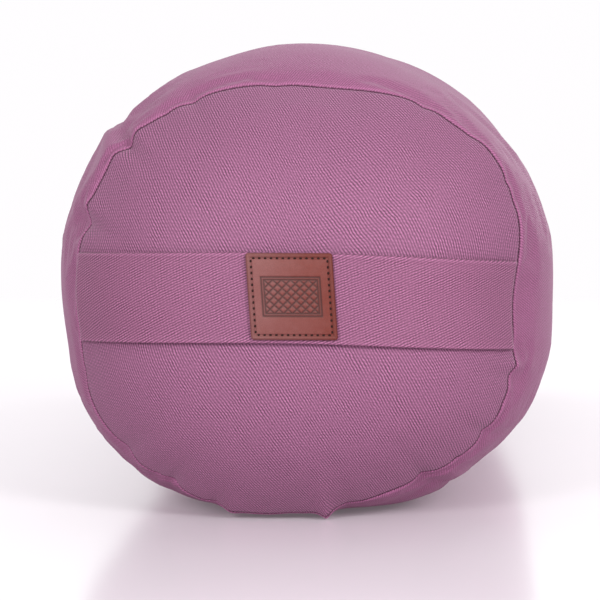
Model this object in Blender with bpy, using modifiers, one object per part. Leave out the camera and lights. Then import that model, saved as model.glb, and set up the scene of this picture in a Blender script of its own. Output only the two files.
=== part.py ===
"""Round bolster: a stuffed cloth tube lying on its side, with a crowned round panel sewn into each end,
a flat carry strap sewn across the front end, and a small leather patch sewn onto the strap.

Metres, +Z up. The tube lies along Y and its front end faces -Y. The origin is on the floor, under the middle.
A clock angle is measured round the tube's axis, from +X towards +Z, as seen from the front.
"""

import math
from collections import namedtuple

import bmesh
import bpy
from mathutils import Matrix, Vector, noise

# The stuffed tube
SEAM_TO_SEAM = 0.568
AXIS_HEIGHT = 0.0975
SEAM_RADIUS = 0.0936
BELLY_RADIUS = 0.1120
SHOULDER_LENGTH = 0.050
MIDDLE_RING_SPACING = 0.052
SHOULDER_RINGS = 8
COLUMNS_ROUND = 96

# How the weight of the filling flattens the underside against the floor
FLOOR_SINK = 0.0025
FLOOR_SHARPNESS = 12.0
LEAST_DOWNWARD = 0.05

# Slow unevenness of the filling along the tube
LUMP_SIZE = 0.085
LUMP_HEIGHT = 0.0016

# The two end panels, which swell into domes
CROWN_HEIGHT = 0.040
CROWN_POWER = 3.2
CLOTH_THICKNESS = 0.0020
LAYER_GAP = 0.0010
RIM_GAP = 0.0004
CROWN_RING_SHARES = (0.0, 0.2, 0.38, 0.54, 0.67, 0.78, 0.87, 0.95, 1.0)
HIDDEN_RING_SHARES = (0.0, 0.3, 0.52, 0.7, 0.84, 0.95, 1.0)
RIM_DIMPLE_SHARE = 0.3
RIM_DIMPLE_POWER = 12
SEAM_TUCK = 0.0030

# The carry strap: its two ends are caught in the front seam
STRAP_WIDTH = 0.0390
STRAP_THICKNESS = 0.0022
STRAP_GAP = 0.0006
STRAP_EASE = 0.0012
STRAP_EASE_POWER = 6
STRAP_RISE_MIDDLE = 0.0039
STRAP_END_FALL = 0.0042
STRAP_TILT_DEG = -0.87
STRAP_END_INSET = 0.0006
STRAP_CELLS = (44, 8)
STRAP_END_STEPS = 4

# The leather patch on the strap
PATCH_SIDE = 0.0364
PATCH_THICKNESS = 0.0016
PATCH_GAP = 0.0004
PATCH_CORNER = 0.0022
PATCH_CENTRE = (-0.0014, 0.0045)
PATCH_SKEW_DEG = 4.0
PATCH_CELLS = 14

# A lobe pushes an outline out from its base radius, or in where its swell is below 0, most at its clock angle
Lobe = namedtuple("Lobe", "clock swell spread")

FRONT_SEAM_LOBES = (
    Lobe(clock=38, swell=0.0128, spread=52),
    Lobe(clock=142, swell=0.0093, spread=67),
    Lobe(clock=204, swell=0.0058, spread=18),
    Lobe(clock=232, swell=0.0065, spread=58),
    Lobe(clock=329, swell=0.0076, spread=38),
    Lobe(clock=2, swell=-0.0025, spread=22),
    Lobe(clock=49, swell=-0.0020, spread=10),
    Lobe(clock=184, swell=0.0022, spread=26),
    Lobe(clock=221, swell=0.0032, spread=18),
)
BACK_SEAM_LOBES = (
    Lobe(clock=52, swell=0.0090, spread=55),
    Lobe(clock=128, swell=0.0104, spread=48),
    Lobe(clock=192, swell=0.0068, spread=50),
    Lobe(clock=338, swell=0.0082, spread=46),
)
FRONT_BELLY_LOBES = (
    Lobe(clock=27, swell=0.0030, spread=30),
    Lobe(clock=62, swell=-0.0010, spread=16),
    Lobe(clock=95, swell=0.0016, spread=20),
    Lobe(clock=147, swell=0.0039, spread=46),
    Lobe(clock=188, swell=-0.0012, spread=48),
    Lobe(clock=209, swell=0.0040, spread=17),
    Lobe(clock=293, swell=0.0015, spread=12),
    Lobe(clock=317, swell=-0.0028, spread=16),
    Lobe(clock=334, swell=0.0027, spread=26),
)
BACK_BELLY_LOBES = (
    Lobe(clock=12, swell=0.0030, spread=40),
    Lobe(clock=118, swell=0.0024, spread=44),
    Lobe(clock=205, swell=0.0036, spread=34),
)
BELLY_LOBE_REACH = (0.06, 0.24)

# A pucker is a small gather: a valley that starts at the seam and dies out along the tube
Pucker = namedtuple("Pucker", "clock depth spread reach")
PUCKER_SIDE_POWER = 1.6
PUCKER_FADE_POWER = 1.5

FRONT_PUCKERS = (
    Pucker(clock=32.0, depth=0.0010, spread=3.6, reach=0.026),
    Pucker(clock=57.5, depth=0.0014, spread=3.6, reach=0.026),
    Pucker(clock=96.0, depth=0.0010, spread=5.0, reach=0.030),
    Pucker(clock=120.5, depth=0.0014, spread=4.0, reach=0.032),
    Pucker(clock=138.0, depth=0.0032, spread=3.2, reach=0.032),
    Pucker(clock=160.0, depth=0.0028, spread=3.8, reach=0.028),
    Pucker(clock=222.0, depth=0.0012, spread=3.2, reach=0.024),
    Pucker(clock=234.8, depth=0.0030, spread=3.2, reach=0.028),
    Pucker(clock=247.7, depth=0.0024, spread=3.2, reach=0.024),
    Pucker(clock=283.0, depth=0.0016, spread=3.8, reach=0.022),
    Pucker(clock=305.5, depth=0.0032, spread=3.2, reach=0.036),
    Pucker(clock=324.5, depth=0.0022, spread=3.2, reach=0.030),
    Pucker(clock=340.0, depth=0.0018, spread=4.6, reach=0.036),
    Pucker(clock=350.0, depth=0.0008, spread=4.0, reach=0.030),
)
BACK_PUCKERS = (
    Pucker(clock=8.0, depth=0.0026, spread=4.4, reach=0.030),
    Pucker(clock=41.0, depth=0.0032, spread=3.8, reach=0.032),
    Pucker(clock=74.0, depth=0.0018, spread=4.4, reach=0.026),
    Pucker(clock=103.0, depth=0.0026, spread=3.8, reach=0.032),
    Pucker(clock=147.0, depth=0.0030, spread=4.2, reach=0.030),
    Pucker(clock=176.0, depth=0.0016, spread=4.0, reach=0.026),
    Pucker(clock=209.0, depth=0.0032, spread=3.8, reach=0.034),
    Pucker(clock=242.0, depth=0.0022, spread=4.0, reach=0.024),
    Pucker(clock=297.0, depth=0.0026, spread=4.0, reach=0.028),
    Pucker(clock=322.0, depth=0.0030, spread=3.8, reach=0.032),
)

SEAM_Y = SEAM_TO_SEAM / 2
MERGE_DISTANCE = 0.00001

# Brings the middle of the whole bolster, strap and patch included, over the origin
CENTRE_SHIFT = (-0.0001, 0.0030, 0.0)

TWILL_COLOUR = (0.413, 0.171, 0.305, 1.0)
STRAP_COLOUR = (0.400, 0.162, 0.290, 1.0)
CLOTH_ROUGHNESS = 0.85
LEATHER_COLOUR = (0.235, 0.075, 0.058, 1.0)
LEATHER_ROUGHNESS = 0.5
SHARP_EDGE_DEG = 50


def clear_scene():
    """Removes the scene's objects, so that only the bolster is left."""
    for obj in list(bpy.data.objects):
        bpy.data.objects.remove(obj)


def new_collection(name):
    """Adds a collection to the scene and returns it."""
    collection = bpy.data.collections.new(name)
    bpy.context.scene.collection.children.link(collection)
    return collection


def new_material(name, colour, roughness):
    """A plain cloth or leather finish."""
    material = bpy.data.materials.new(name)
    material.use_nodes = True
    shader = material.node_tree.nodes["Principled BSDF"]
    shader.inputs["Base Color"].default_value = colour
    shader.inputs["Roughness"].default_value = roughness
    shader.inputs["Metallic"].default_value = 0.0
    return material


def smooth_step(low, high, value):
    """Goes from 0 at low to 1 at high with no corner."""
    share = min(1.0, max(0.0, (value - low) / (high - low)))
    return share * share * (3 - 2 * share)


def clock_difference(clock, other):
    """The shorter way round from one clock angle to another, in degrees."""
    return (clock - other + 180.0) % 360.0 - 180.0


def lobes_at(clock, lobes):
    """How far the lobes push an outline out at a clock angle."""
    total = 0.0
    for lobe in lobes:
        away = abs(clock_difference(clock, lobe.clock))
        if away < lobe.spread:
            total += lobe.swell * 0.5 * (1 + math.cos(math.pi * away / lobe.spread))
    return total


def puckers_at(clock, inward, puckers):
    """How far the puckers draw the cloth in, at a clock angle and a distance inward from the seam."""
    total = 0.0
    for pucker in puckers:
        away = clock_difference(clock, pucker.clock) / pucker.spread
        along = max(0.0, inward - SEAM_TUCK) / pucker.reach
        fade = math.exp(-(along**PUCKER_FADE_POWER))
        total += pucker.depth * math.exp(-(abs(away) ** PUCKER_SIDE_POWER)) * fade
    return total


def limited_by_floor(radius, clock):
    """A radius softly held back by the floor, on the tube's lower half."""
    downward = -math.sin(math.radians(clock))
    if downward < LEAST_DOWNWARD:
        return radius
    floor_reach = (AXIS_HEIGHT + FLOOR_SINK) / downward
    power = FLOOR_SHARPNESS
    return (radius**-power + floor_reach**-power) ** (-1 / power)


def seam_radius(clock, front):
    """The seam's own radius at a clock angle, before its puckers."""
    return SEAM_RADIUS + lobes_at(clock, FRONT_SEAM_LOBES if front else BACK_SEAM_LOBES)


def belly_radius(clock, inward, front, lump):
    """The full tube's radius at a clock angle. The lobes of each end fade towards the middle."""
    low, high = BELLY_LOBE_REACH
    near_end = 1 - smooth_step(low, high, inward)
    lobes = FRONT_BELLY_LOBES if front else BACK_BELLY_LOBES
    radius = BELLY_RADIUS + near_end * lobes_at(clock, lobes) + lump
    return limited_by_floor(radius, clock)


def settle(point):
    """Moves a point of the plain turned bolster to where the filled cloth really lies."""
    x, y, z = point
    up = z - AXIS_HEIGHT
    radius = math.hypot(x, up)
    if radius < MERGE_DISTANCE:
        return Vector(point)
    clock = math.degrees(math.atan2(up, x))
    front = y < 0
    inward = SEAM_Y - abs(y)
    seam = seam_radius(clock, front)
    drawn_in = puckers_at(clock, inward, FRONT_PUCKERS if front else BACK_PUCKERS)
    if radius <= SEAM_RADIUS:
        rim_share = min(1.0, radius / (SEAM_RADIUS - 2 * RIM_GAP)) ** RIM_DIMPLE_POWER
        new_radius = radius * seam / SEAM_RADIUS - drawn_in * rim_share
    else:
        lump = LUMP_HEIGHT * noise.noise(Vector(point) / LUMP_SIZE)
        belly = belly_radius(clock, inward, front, lump)
        share = (radius - SEAM_RADIUS) / (BELLY_RADIUS - SEAM_RADIUS)
        rim_share = 1 - share
        new_radius = seam + share * (belly - seam) - drawn_in
    push_in = RIM_DIMPLE_SHARE * drawn_in * rim_share
    new_y = y + (push_in if front else -push_in)
    turned = math.radians(clock)
    new_z = max(0.0, AXIS_HEIGHT + new_radius * math.sin(turned))
    return Vector((new_radius * math.cos(turned), new_y, new_z))


def crown_at(radius):
    """How far an end panel stands out from the seam's plane at a radius of the plain turned bolster."""
    share = min(1.0, radius / SEAM_RADIUS)
    return CROWN_HEIGHT * (1 - share**CROWN_POWER)


def front_panel_y(x, up):
    """The front panel's outer face, at a place across it measured from the tube's axis."""
    clock = math.degrees(math.atan2(up, x))
    plain_radius = math.hypot(x, up) * SEAM_RADIUS / seam_radius(clock, True)
    return -(SEAM_Y + crown_at(plain_radius))


def link_mesh(name, mesh, material, collection):
    """Makes an object of a finished mesh, shaded smooth with its rims kept sharp."""
    mesh.transform(Matrix.Translation(CENTRE_SHIFT))
    obj = bpy.data.objects.new(name, mesh)
    collection.objects.link(obj)
    mesh.name = name
    mesh.materials.clear()
    mesh.materials.append(material)
    mesh.shade_smooth()
    mesh.set_sharp_from_angle(angle=math.radians(SHARP_EDGE_DEG))
    return obj


def evaluated_mesh(obj):
    """Applies an object's modifiers to a new mesh and removes the object."""
    bpy.context.view_layer.update()
    graph = bpy.context.evaluated_depsgraph_get()
    mesh = bpy.data.meshes.new_from_object(obj.evaluated_get(graph))
    bpy.data.objects.remove(obj)
    return mesh


def turned_mesh(profile, facing):
    """Turns a closed profile of (radius, height) pairs, listed down its outer side, and lays its axis along Y.

    facing is -1 where the profile's top points to the front, and 1 where it points to the back.
    """
    mesh = bpy.data.meshes.new("profile")
    points = [(radius, 0.0, height) for radius, height in profile]
    edges = [(index, index + 1) for index in range(len(points) - 1)]
    mesh.from_pydata(points, edges, [])
    obj = bpy.data.objects.new("profile", mesh)
    bpy.context.scene.collection.objects.link(obj)
    screw = obj.modifiers.new("Screw", "SCREW")
    screw.axis = "Z"
    screw.steps = COLUMNS_ROUND
    screw.render_steps = COLUMNS_ROUND
    screw.use_merge_vertices = True
    screw.merge_threshold = MERGE_DISTANCE
    turned = evaluated_mesh(obj)
    turned.transform(Matrix.Rotation(-facing * math.pi / 2, 4, "X"))
    turned.transform(Matrix.Translation((0.0, 0.0, AXIS_HEIGHT)))
    return turned


def move_points(mesh, mover):
    """Puts every point of a mesh where the mover says."""
    for vertex in mesh.vertices:
        vertex.co = mover(vertex.co)
    mesh.update()


def half_tube_profile():
    """One end of the tube, from the middle of its hidden crown out to the belly: (radius, distance from the middle)."""
    under_panel = CLOTH_THICKNESS + LAYER_GAP
    profile = []
    for share in HIDDEN_RING_SHARES:
        radius = SEAM_RADIUS * share
        profile.append((radius, SEAM_Y + crown_at(radius) - under_panel))
    belly_step = BELLY_RADIUS - SEAM_RADIUS
    for ring in range(SHOULDER_RINGS + 1):
        share = ring / SHOULDER_RINGS
        radius = SEAM_RADIUS + belly_step * (1 - (1 - share) ** 2)
        profile.append((radius, SEAM_Y - SHOULDER_LENGTH * share))
    return profile


def make_tube(material, collection):
    """The side panel with its filling: one solid, drawn in at both seams, crowned under the end panels."""
    half = half_tube_profile()
    straight = 2 * (SEAM_Y - SHOULDER_LENGTH)
    rings = round(straight / MIDDLE_RING_SPACING)
    middle = [(BELLY_RADIUS, straight * (0.5 - ring / rings)) for ring in range(1, rings)]
    other_half = [(radius, -height) for radius, height in reversed(half)]
    mesh = turned_mesh(half + middle + other_half, facing=-1)
    move_points(mesh, settle)
    return link_mesh("filled_tube", mesh, material, collection)


def make_end_panel(name, facing, material, collection):
    """One round end panel: a crowned sheet of cloth that ends at the seam."""
    rim = SEAM_RADIUS - RIM_GAP
    outer = [rim * share for share in CROWN_RING_SHARES]
    inner = [rim * share for share in reversed(HIDDEN_RING_SHARES)]
    profile = [(radius, SEAM_Y + crown_at(radius)) for radius in outer]
    profile += [(radius, SEAM_Y + crown_at(radius) - CLOTH_THICKNESS) for radius in inner]
    mesh = turned_mesh(profile, facing)
    move_points(mesh, settle)
    return link_mesh(name, mesh, material, collection)


def strap_end(up, side):
    """Where the strap meets the seam at a height above the axis: the distance from the axis along X."""
    reach = SEAM_RADIUS
    for _ in range(STRAP_END_STEPS):
        clock = math.degrees(math.atan2(up, side * reach))
        reach = math.sqrt((seam_radius(clock, True) - STRAP_END_INSET) ** 2 - up**2)
    return reach


def strap_back_y(x, up):
    """The strap's inner face: against the end panel at the seam, and eased a little off it between."""
    share = min(1.0, abs(x) / SEAM_RADIUS)
    return front_panel_y(x, up) - STRAP_GAP - STRAP_EASE * (1 - share**STRAP_EASE_POWER)


def sheet_mesh(cells, placer, thickness):
    """A flat grid of cells, placed by a function of its two shares from -1 to 1, and thickened towards the front."""
    mesh = bpy.data.meshes.new("sheet")
    grid = bmesh.new()
    across, along = cells
    bmesh.ops.create_grid(grid, x_segments=across, y_segments=along, size=1.0)
    bmesh.ops.rotate(grid, verts=grid.verts, matrix=Matrix.Rotation(math.pi / 2, 3, "X"))
    for vertex in grid.verts:
        vertex.co = placer(vertex.co.x, vertex.co.z)
    grid.to_mesh(mesh)
    grid.free()
    obj = bpy.data.objects.new("sheet", mesh)
    bpy.context.scene.collection.objects.link(obj)
    thicken = obj.modifiers.new("Solidify", "SOLIDIFY")
    thicken.thickness = thickness
    thicken.offset = 1.0
    return evaluated_mesh(obj)


def place_strap(length_share, width_share):
    """A point of the strap's inner face."""
    tilt = math.tan(math.radians(STRAP_TILT_DEG))
    flat_x = length_share * SEAM_RADIUS
    middle = STRAP_RISE_MIDDLE - STRAP_END_FALL * length_share**2 + flat_x * tilt
    up = middle + width_share * STRAP_WIDTH / 2
    x = length_share * strap_end(up, 1 if length_share > 0 else -1)
    return Vector((x, strap_back_y(x, up), AXIS_HEIGHT + up))


def place_patch(across_share, up_share):
    """A point of the patch's inner face, on the strap. The corners are rounded by drawing them in."""
    half = PATCH_SIDE / 2
    flat = half - PATCH_CORNER
    across, up = across_share * half, up_share * half
    past_x, past_up = max(0.0, abs(across) - flat), max(0.0, abs(up) - flat)
    if past_x > 0 and past_up > 0:
        shrink = max(past_x, past_up) / math.hypot(past_x, past_up)
        across = math.copysign(flat + past_x * shrink, across)
        up = math.copysign(flat + past_up * shrink, up)
    x = PATCH_CENTRE[0] + across - up * math.tan(math.radians(PATCH_SKEW_DEG))
    up += PATCH_CENTRE[1]
    y = strap_back_y(x, up) - STRAP_THICKNESS - PATCH_GAP
    return Vector((x, y, AXIS_HEIGHT + up))


def make_strap(material, collection):
    """The flat carry strap, from one side of the front seam to the other."""
    mesh = sheet_mesh(STRAP_CELLS, place_strap, STRAP_THICKNESS)
    return link_mesh("carry_strap", mesh, material, collection)


def make_patch(material, collection):
    """The small leather patch, sewn onto the strap a little askew."""
    mesh = sheet_mesh((PATCH_CELLS, PATCH_CELLS), place_patch, PATCH_THICKNESS)
    return link_mesh("leather_patch", mesh, material, collection)


def main():
    """Builds the bolster's five pieces."""
    clear_scene()
    collection = new_collection("round_bolster")
    twill = new_material("twill", TWILL_COLOUR, CLOTH_ROUGHNESS)
    band = new_material("strap_twill", STRAP_COLOUR, CLOTH_ROUGHNESS)
    leather = new_material("leather", LEATHER_COLOUR, LEATHER_ROUGHNESS)
    make_tube(twill, collection)
    make_end_panel("end_panel_front", -1, twill, collection)
    make_end_panel("end_panel_back", 1, twill, collection)
    make_strap(band, collection)
    make_patch(leather, collection)


main()
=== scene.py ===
"""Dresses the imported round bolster: a stuffed twill tube with crowned end panels, a folded carry strap
across its front end and a stitched leather patch, on a pale glossy floor in soft studio light.

Metres, +Z up. The tube lies along Y and its front end faces -Y. A clock angle is measured round the tube's
axis from +X towards +Z, as seen from the front. The form is worked out on a plain turned bolster first, and
settle() then moves each point to where the filled cloth really lies, the same way as in the solids.
"""

import logging
import math
from dataclasses import dataclass
from enum import Enum

import bmesh
import bpy
import numpy as np
from mathutils import Matrix, Vector, noise


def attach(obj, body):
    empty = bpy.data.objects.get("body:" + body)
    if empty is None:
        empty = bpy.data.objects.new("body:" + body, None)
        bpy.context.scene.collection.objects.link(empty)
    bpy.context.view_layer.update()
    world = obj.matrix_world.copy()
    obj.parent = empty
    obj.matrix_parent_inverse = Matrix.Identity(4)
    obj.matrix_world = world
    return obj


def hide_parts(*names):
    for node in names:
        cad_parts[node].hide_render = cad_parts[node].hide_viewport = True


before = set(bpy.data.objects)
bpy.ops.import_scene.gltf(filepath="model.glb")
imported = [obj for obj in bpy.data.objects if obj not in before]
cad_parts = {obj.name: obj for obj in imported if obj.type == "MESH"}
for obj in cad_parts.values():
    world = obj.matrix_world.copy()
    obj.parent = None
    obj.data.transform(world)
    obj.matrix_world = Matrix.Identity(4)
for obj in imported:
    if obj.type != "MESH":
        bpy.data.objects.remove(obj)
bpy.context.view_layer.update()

BODY = "root"
CLOTH_MAP = "cloth"
TOOLED = "tooled"
FULL_TURN = 360.0
FIRST_CLOCK = -45.0
TINY = 1e-9

log = logging.getLogger("bolster")


class End(Enum):
    """The two ends of the tube. The value is the direction along Y in which the end faces."""

    FRONT = -1
    BACK = 1


class Weave(Enum):
    """How a cloth's twill runs: the directions across its wales and its rows, in degrees from its width."""

    BODY = (29.5, 87.5)
    STRAP = (-66.0, 6.0)


@dataclass(frozen=True)
class Lobe:
    """A place where an outline swells: most at its clock angle, and fading over its spread.

    The clock angle and the spread are in degrees, and the swell is in metres.
    """

    clock: float
    swell: float
    spread: float


@dataclass(frozen=True)
class Pucker:
    """A gather that starts at the seam and dies out along the tube. A depth below 0 swells out instead.

    slant turns its valley round the tube, in degrees a metre, and lip raises a fold along one side of it, as
    a share of its depth. A lip below 0 is on the other side.
    """

    clock: float
    depth: float
    spread: float
    reach: float
    slant: float = 0.0
    lip: float = 0.0


FRONT_SEAM_LOBES = (
    Lobe(clock=38, swell=0.0128, spread=52),
    Lobe(clock=142, swell=0.0093, spread=67),
    Lobe(clock=204, swell=0.0058, spread=18),
    Lobe(clock=232, swell=0.0065, spread=58),
    Lobe(clock=329, swell=0.0076, spread=38),
    Lobe(clock=2, swell=-0.0025, spread=22),
    Lobe(clock=49, swell=-0.0020, spread=10),
    Lobe(clock=184, swell=0.0022, spread=26),
    Lobe(clock=221, swell=0.0032, spread=18),
)
BACK_SEAM_LOBES = (
    Lobe(clock=52, swell=0.0090, spread=55),
    Lobe(clock=128, swell=0.0104, spread=48),
    Lobe(clock=192, swell=0.0068, spread=50),
    Lobe(clock=338, swell=0.0082, spread=46),
)
FRONT_BELLY_LOBES = (
    Lobe(clock=27, swell=0.0030, spread=30),
    Lobe(clock=62, swell=-0.0010, spread=16),
    Lobe(clock=95, swell=0.0016, spread=20),
    Lobe(clock=147, swell=0.0039, spread=46),
    Lobe(clock=188, swell=-0.0012, spread=48),
    Lobe(clock=209, swell=0.0040, spread=17),
    Lobe(clock=293, swell=0.0015, spread=12),
    Lobe(clock=317, swell=-0.0028, spread=16),
    Lobe(clock=334, swell=0.0027, spread=26),
)
BACK_BELLY_LOBES = (
    Lobe(clock=12, swell=0.0030, spread=40),
    Lobe(clock=118, swell=0.0024, spread=44),
    Lobe(clock=205, swell=0.0036, spread=34),
)
FRONT_PUCKERS = (
    Pucker(clock=25.5, depth=0.0010, spread=3.6, reach=0.020),
    Pucker(clock=30.2, depth=0.0008, spread=1.6, reach=0.016),
    Pucker(clock=44.0, depth=0.0008, spread=2.4, reach=0.018),
    Pucker(clock=57.5, depth=0.0016, spread=2.6, reach=0.024, slant=30),
    Pucker(clock=96.5, depth=0.0008, spread=3.4, reach=0.026),
    Pucker(clock=118.5, depth=0.0016, spread=2.6, reach=0.034, slant=-40),
    Pucker(clock=125.8, depth=0.0006, spread=1.8, reach=0.022),
    Pucker(clock=134.2, depth=-0.0016, spread=3.0, reach=0.022),
    Pucker(clock=138.0, depth=0.0030, spread=2.3, reach=0.036, slant=-30, lip=0.2),
    Pucker(clock=142.0, depth=-0.0016, spread=3.2, reach=0.022),
    Pucker(clock=156.0, depth=-0.0018, spread=2.2, reach=0.018),
    Pucker(clock=160.2, depth=0.0032, spread=2.7, reach=0.026),
    Pucker(clock=175.0, depth=0.0013, spread=5.6, reach=0.020),
    Pucker(clock=199.0, depth=0.0015, spread=5.4, reach=0.020),
    Pucker(clock=220.8, depth=0.0020, spread=3.2, reach=0.024),
    Pucker(clock=230.6, depth=0.0012, spread=2.6, reach=0.018),
    Pucker(clock=234.8, depth=0.0028, spread=2.4, reach=0.026, slant=40),
    Pucker(clock=247.4, depth=0.0018, spread=2.4, reach=0.022),
    Pucker(clock=252.2, depth=-0.0013, spread=2.6, reach=0.016),
    Pucker(clock=267.0, depth=0.0008, spread=4.6, reach=0.016),
    Pucker(clock=276.9, depth=-0.0032, spread=1.9, reach=0.012),
    Pucker(clock=283.0, depth=0.0012, spread=3.0, reach=0.018),
    Pucker(clock=305.2, depth=0.0026, spread=2.6, reach=0.042, slant=90, lip=0.3),
    Pucker(clock=314.7, depth=0.0006, spread=1.3, reach=0.040),
    Pucker(clock=324.5, depth=0.0020, spread=2.2, reach=0.036, slant=100, lip=0.2),
    Pucker(clock=333.6, depth=0.0006, spread=2.4, reach=0.030),
    Pucker(clock=340.0, depth=0.0018, spread=2.6, reach=0.036),
    Pucker(clock=343.4, depth=-0.0016, spread=1.6, reach=0.014),
    Pucker(clock=348.0, depth=0.0008, spread=2.4, reach=0.026),
)
BACK_PUCKERS = (
    Pucker(clock=8.0, depth=0.0026, spread=4.0, reach=0.030),
    Pucker(clock=41.0, depth=0.0034, spread=3.0, reach=0.034, slant=60, lip=0.20),
    Pucker(clock=74.0, depth=0.0018, spread=3.6, reach=0.026),
    Pucker(clock=103.0, depth=0.0028, spread=3.0, reach=0.034, slant=-80, lip=0.15),
    Pucker(clock=147.0, depth=0.0030, spread=3.4, reach=0.032, slant=60),
    Pucker(clock=176.0, depth=0.0016, spread=4.0, reach=0.026),
    Pucker(clock=209.0, depth=0.0034, spread=2.9, reach=0.036, slant=90, lip=0.25),
    Pucker(clock=242.0, depth=0.0022, spread=3.4, reach=0.024),
    Pucker(clock=297.0, depth=0.0026, spread=3.4, reach=0.028),
    Pucker(clock=322.0, depth=0.0032, spread=3.0, reach=0.034, slant=-90, lip=0.20),
)


def smooth_step(low: float, high: float, value: np.ndarray) -> np.ndarray:
    """Goes from 0 at low to 1 at high with no corner.

    Args:
        low: Where it is still 0.
        high: Where it has become 1.
        value: The values to read it at.

    Returns:
        The shares, from 0 to 1.
    """
    share = np.clip((value - low) / (high - low), 0.0, 1.0)
    return share * share * (3 - 2 * share)


def clock_difference(clock: np.ndarray, other: np.ndarray | float) -> np.ndarray:
    """Gives the shorter way round from one clock angle to another, in degrees."""
    return (clock - other + 180.0) % FULL_TURN - 180.0


def between(values: np.ndarray, places: np.ndarray, wrap: bool) -> np.ndarray:
    """Reads rows of values at places between them, on a smooth curve through four rows.

    Args:
        values: The rows, along the first axis.
        places: Row numbers with fractions.
        wrap: Whether the last row is followed by the first.

    Returns:
        One row for each place.
    """
    whole = np.floor(places).astype(int)
    part = (places - whole).reshape((-1,) + (1,) * (values.ndim - 1))
    last = len(values)
    rows = [(whole + step) % last if wrap else np.clip(whole + step, 0, last - 1) for step in (-1, 0, 1, 2)]
    before, start, stop, after = (values[row] for row in rows)
    bend = 2 * before - 5 * start + 4 * stop - after
    turn = 3 * (start - stop) + after - before
    return start + 0.5 * part * (stop - before + part * (bend + part * turn))


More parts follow.
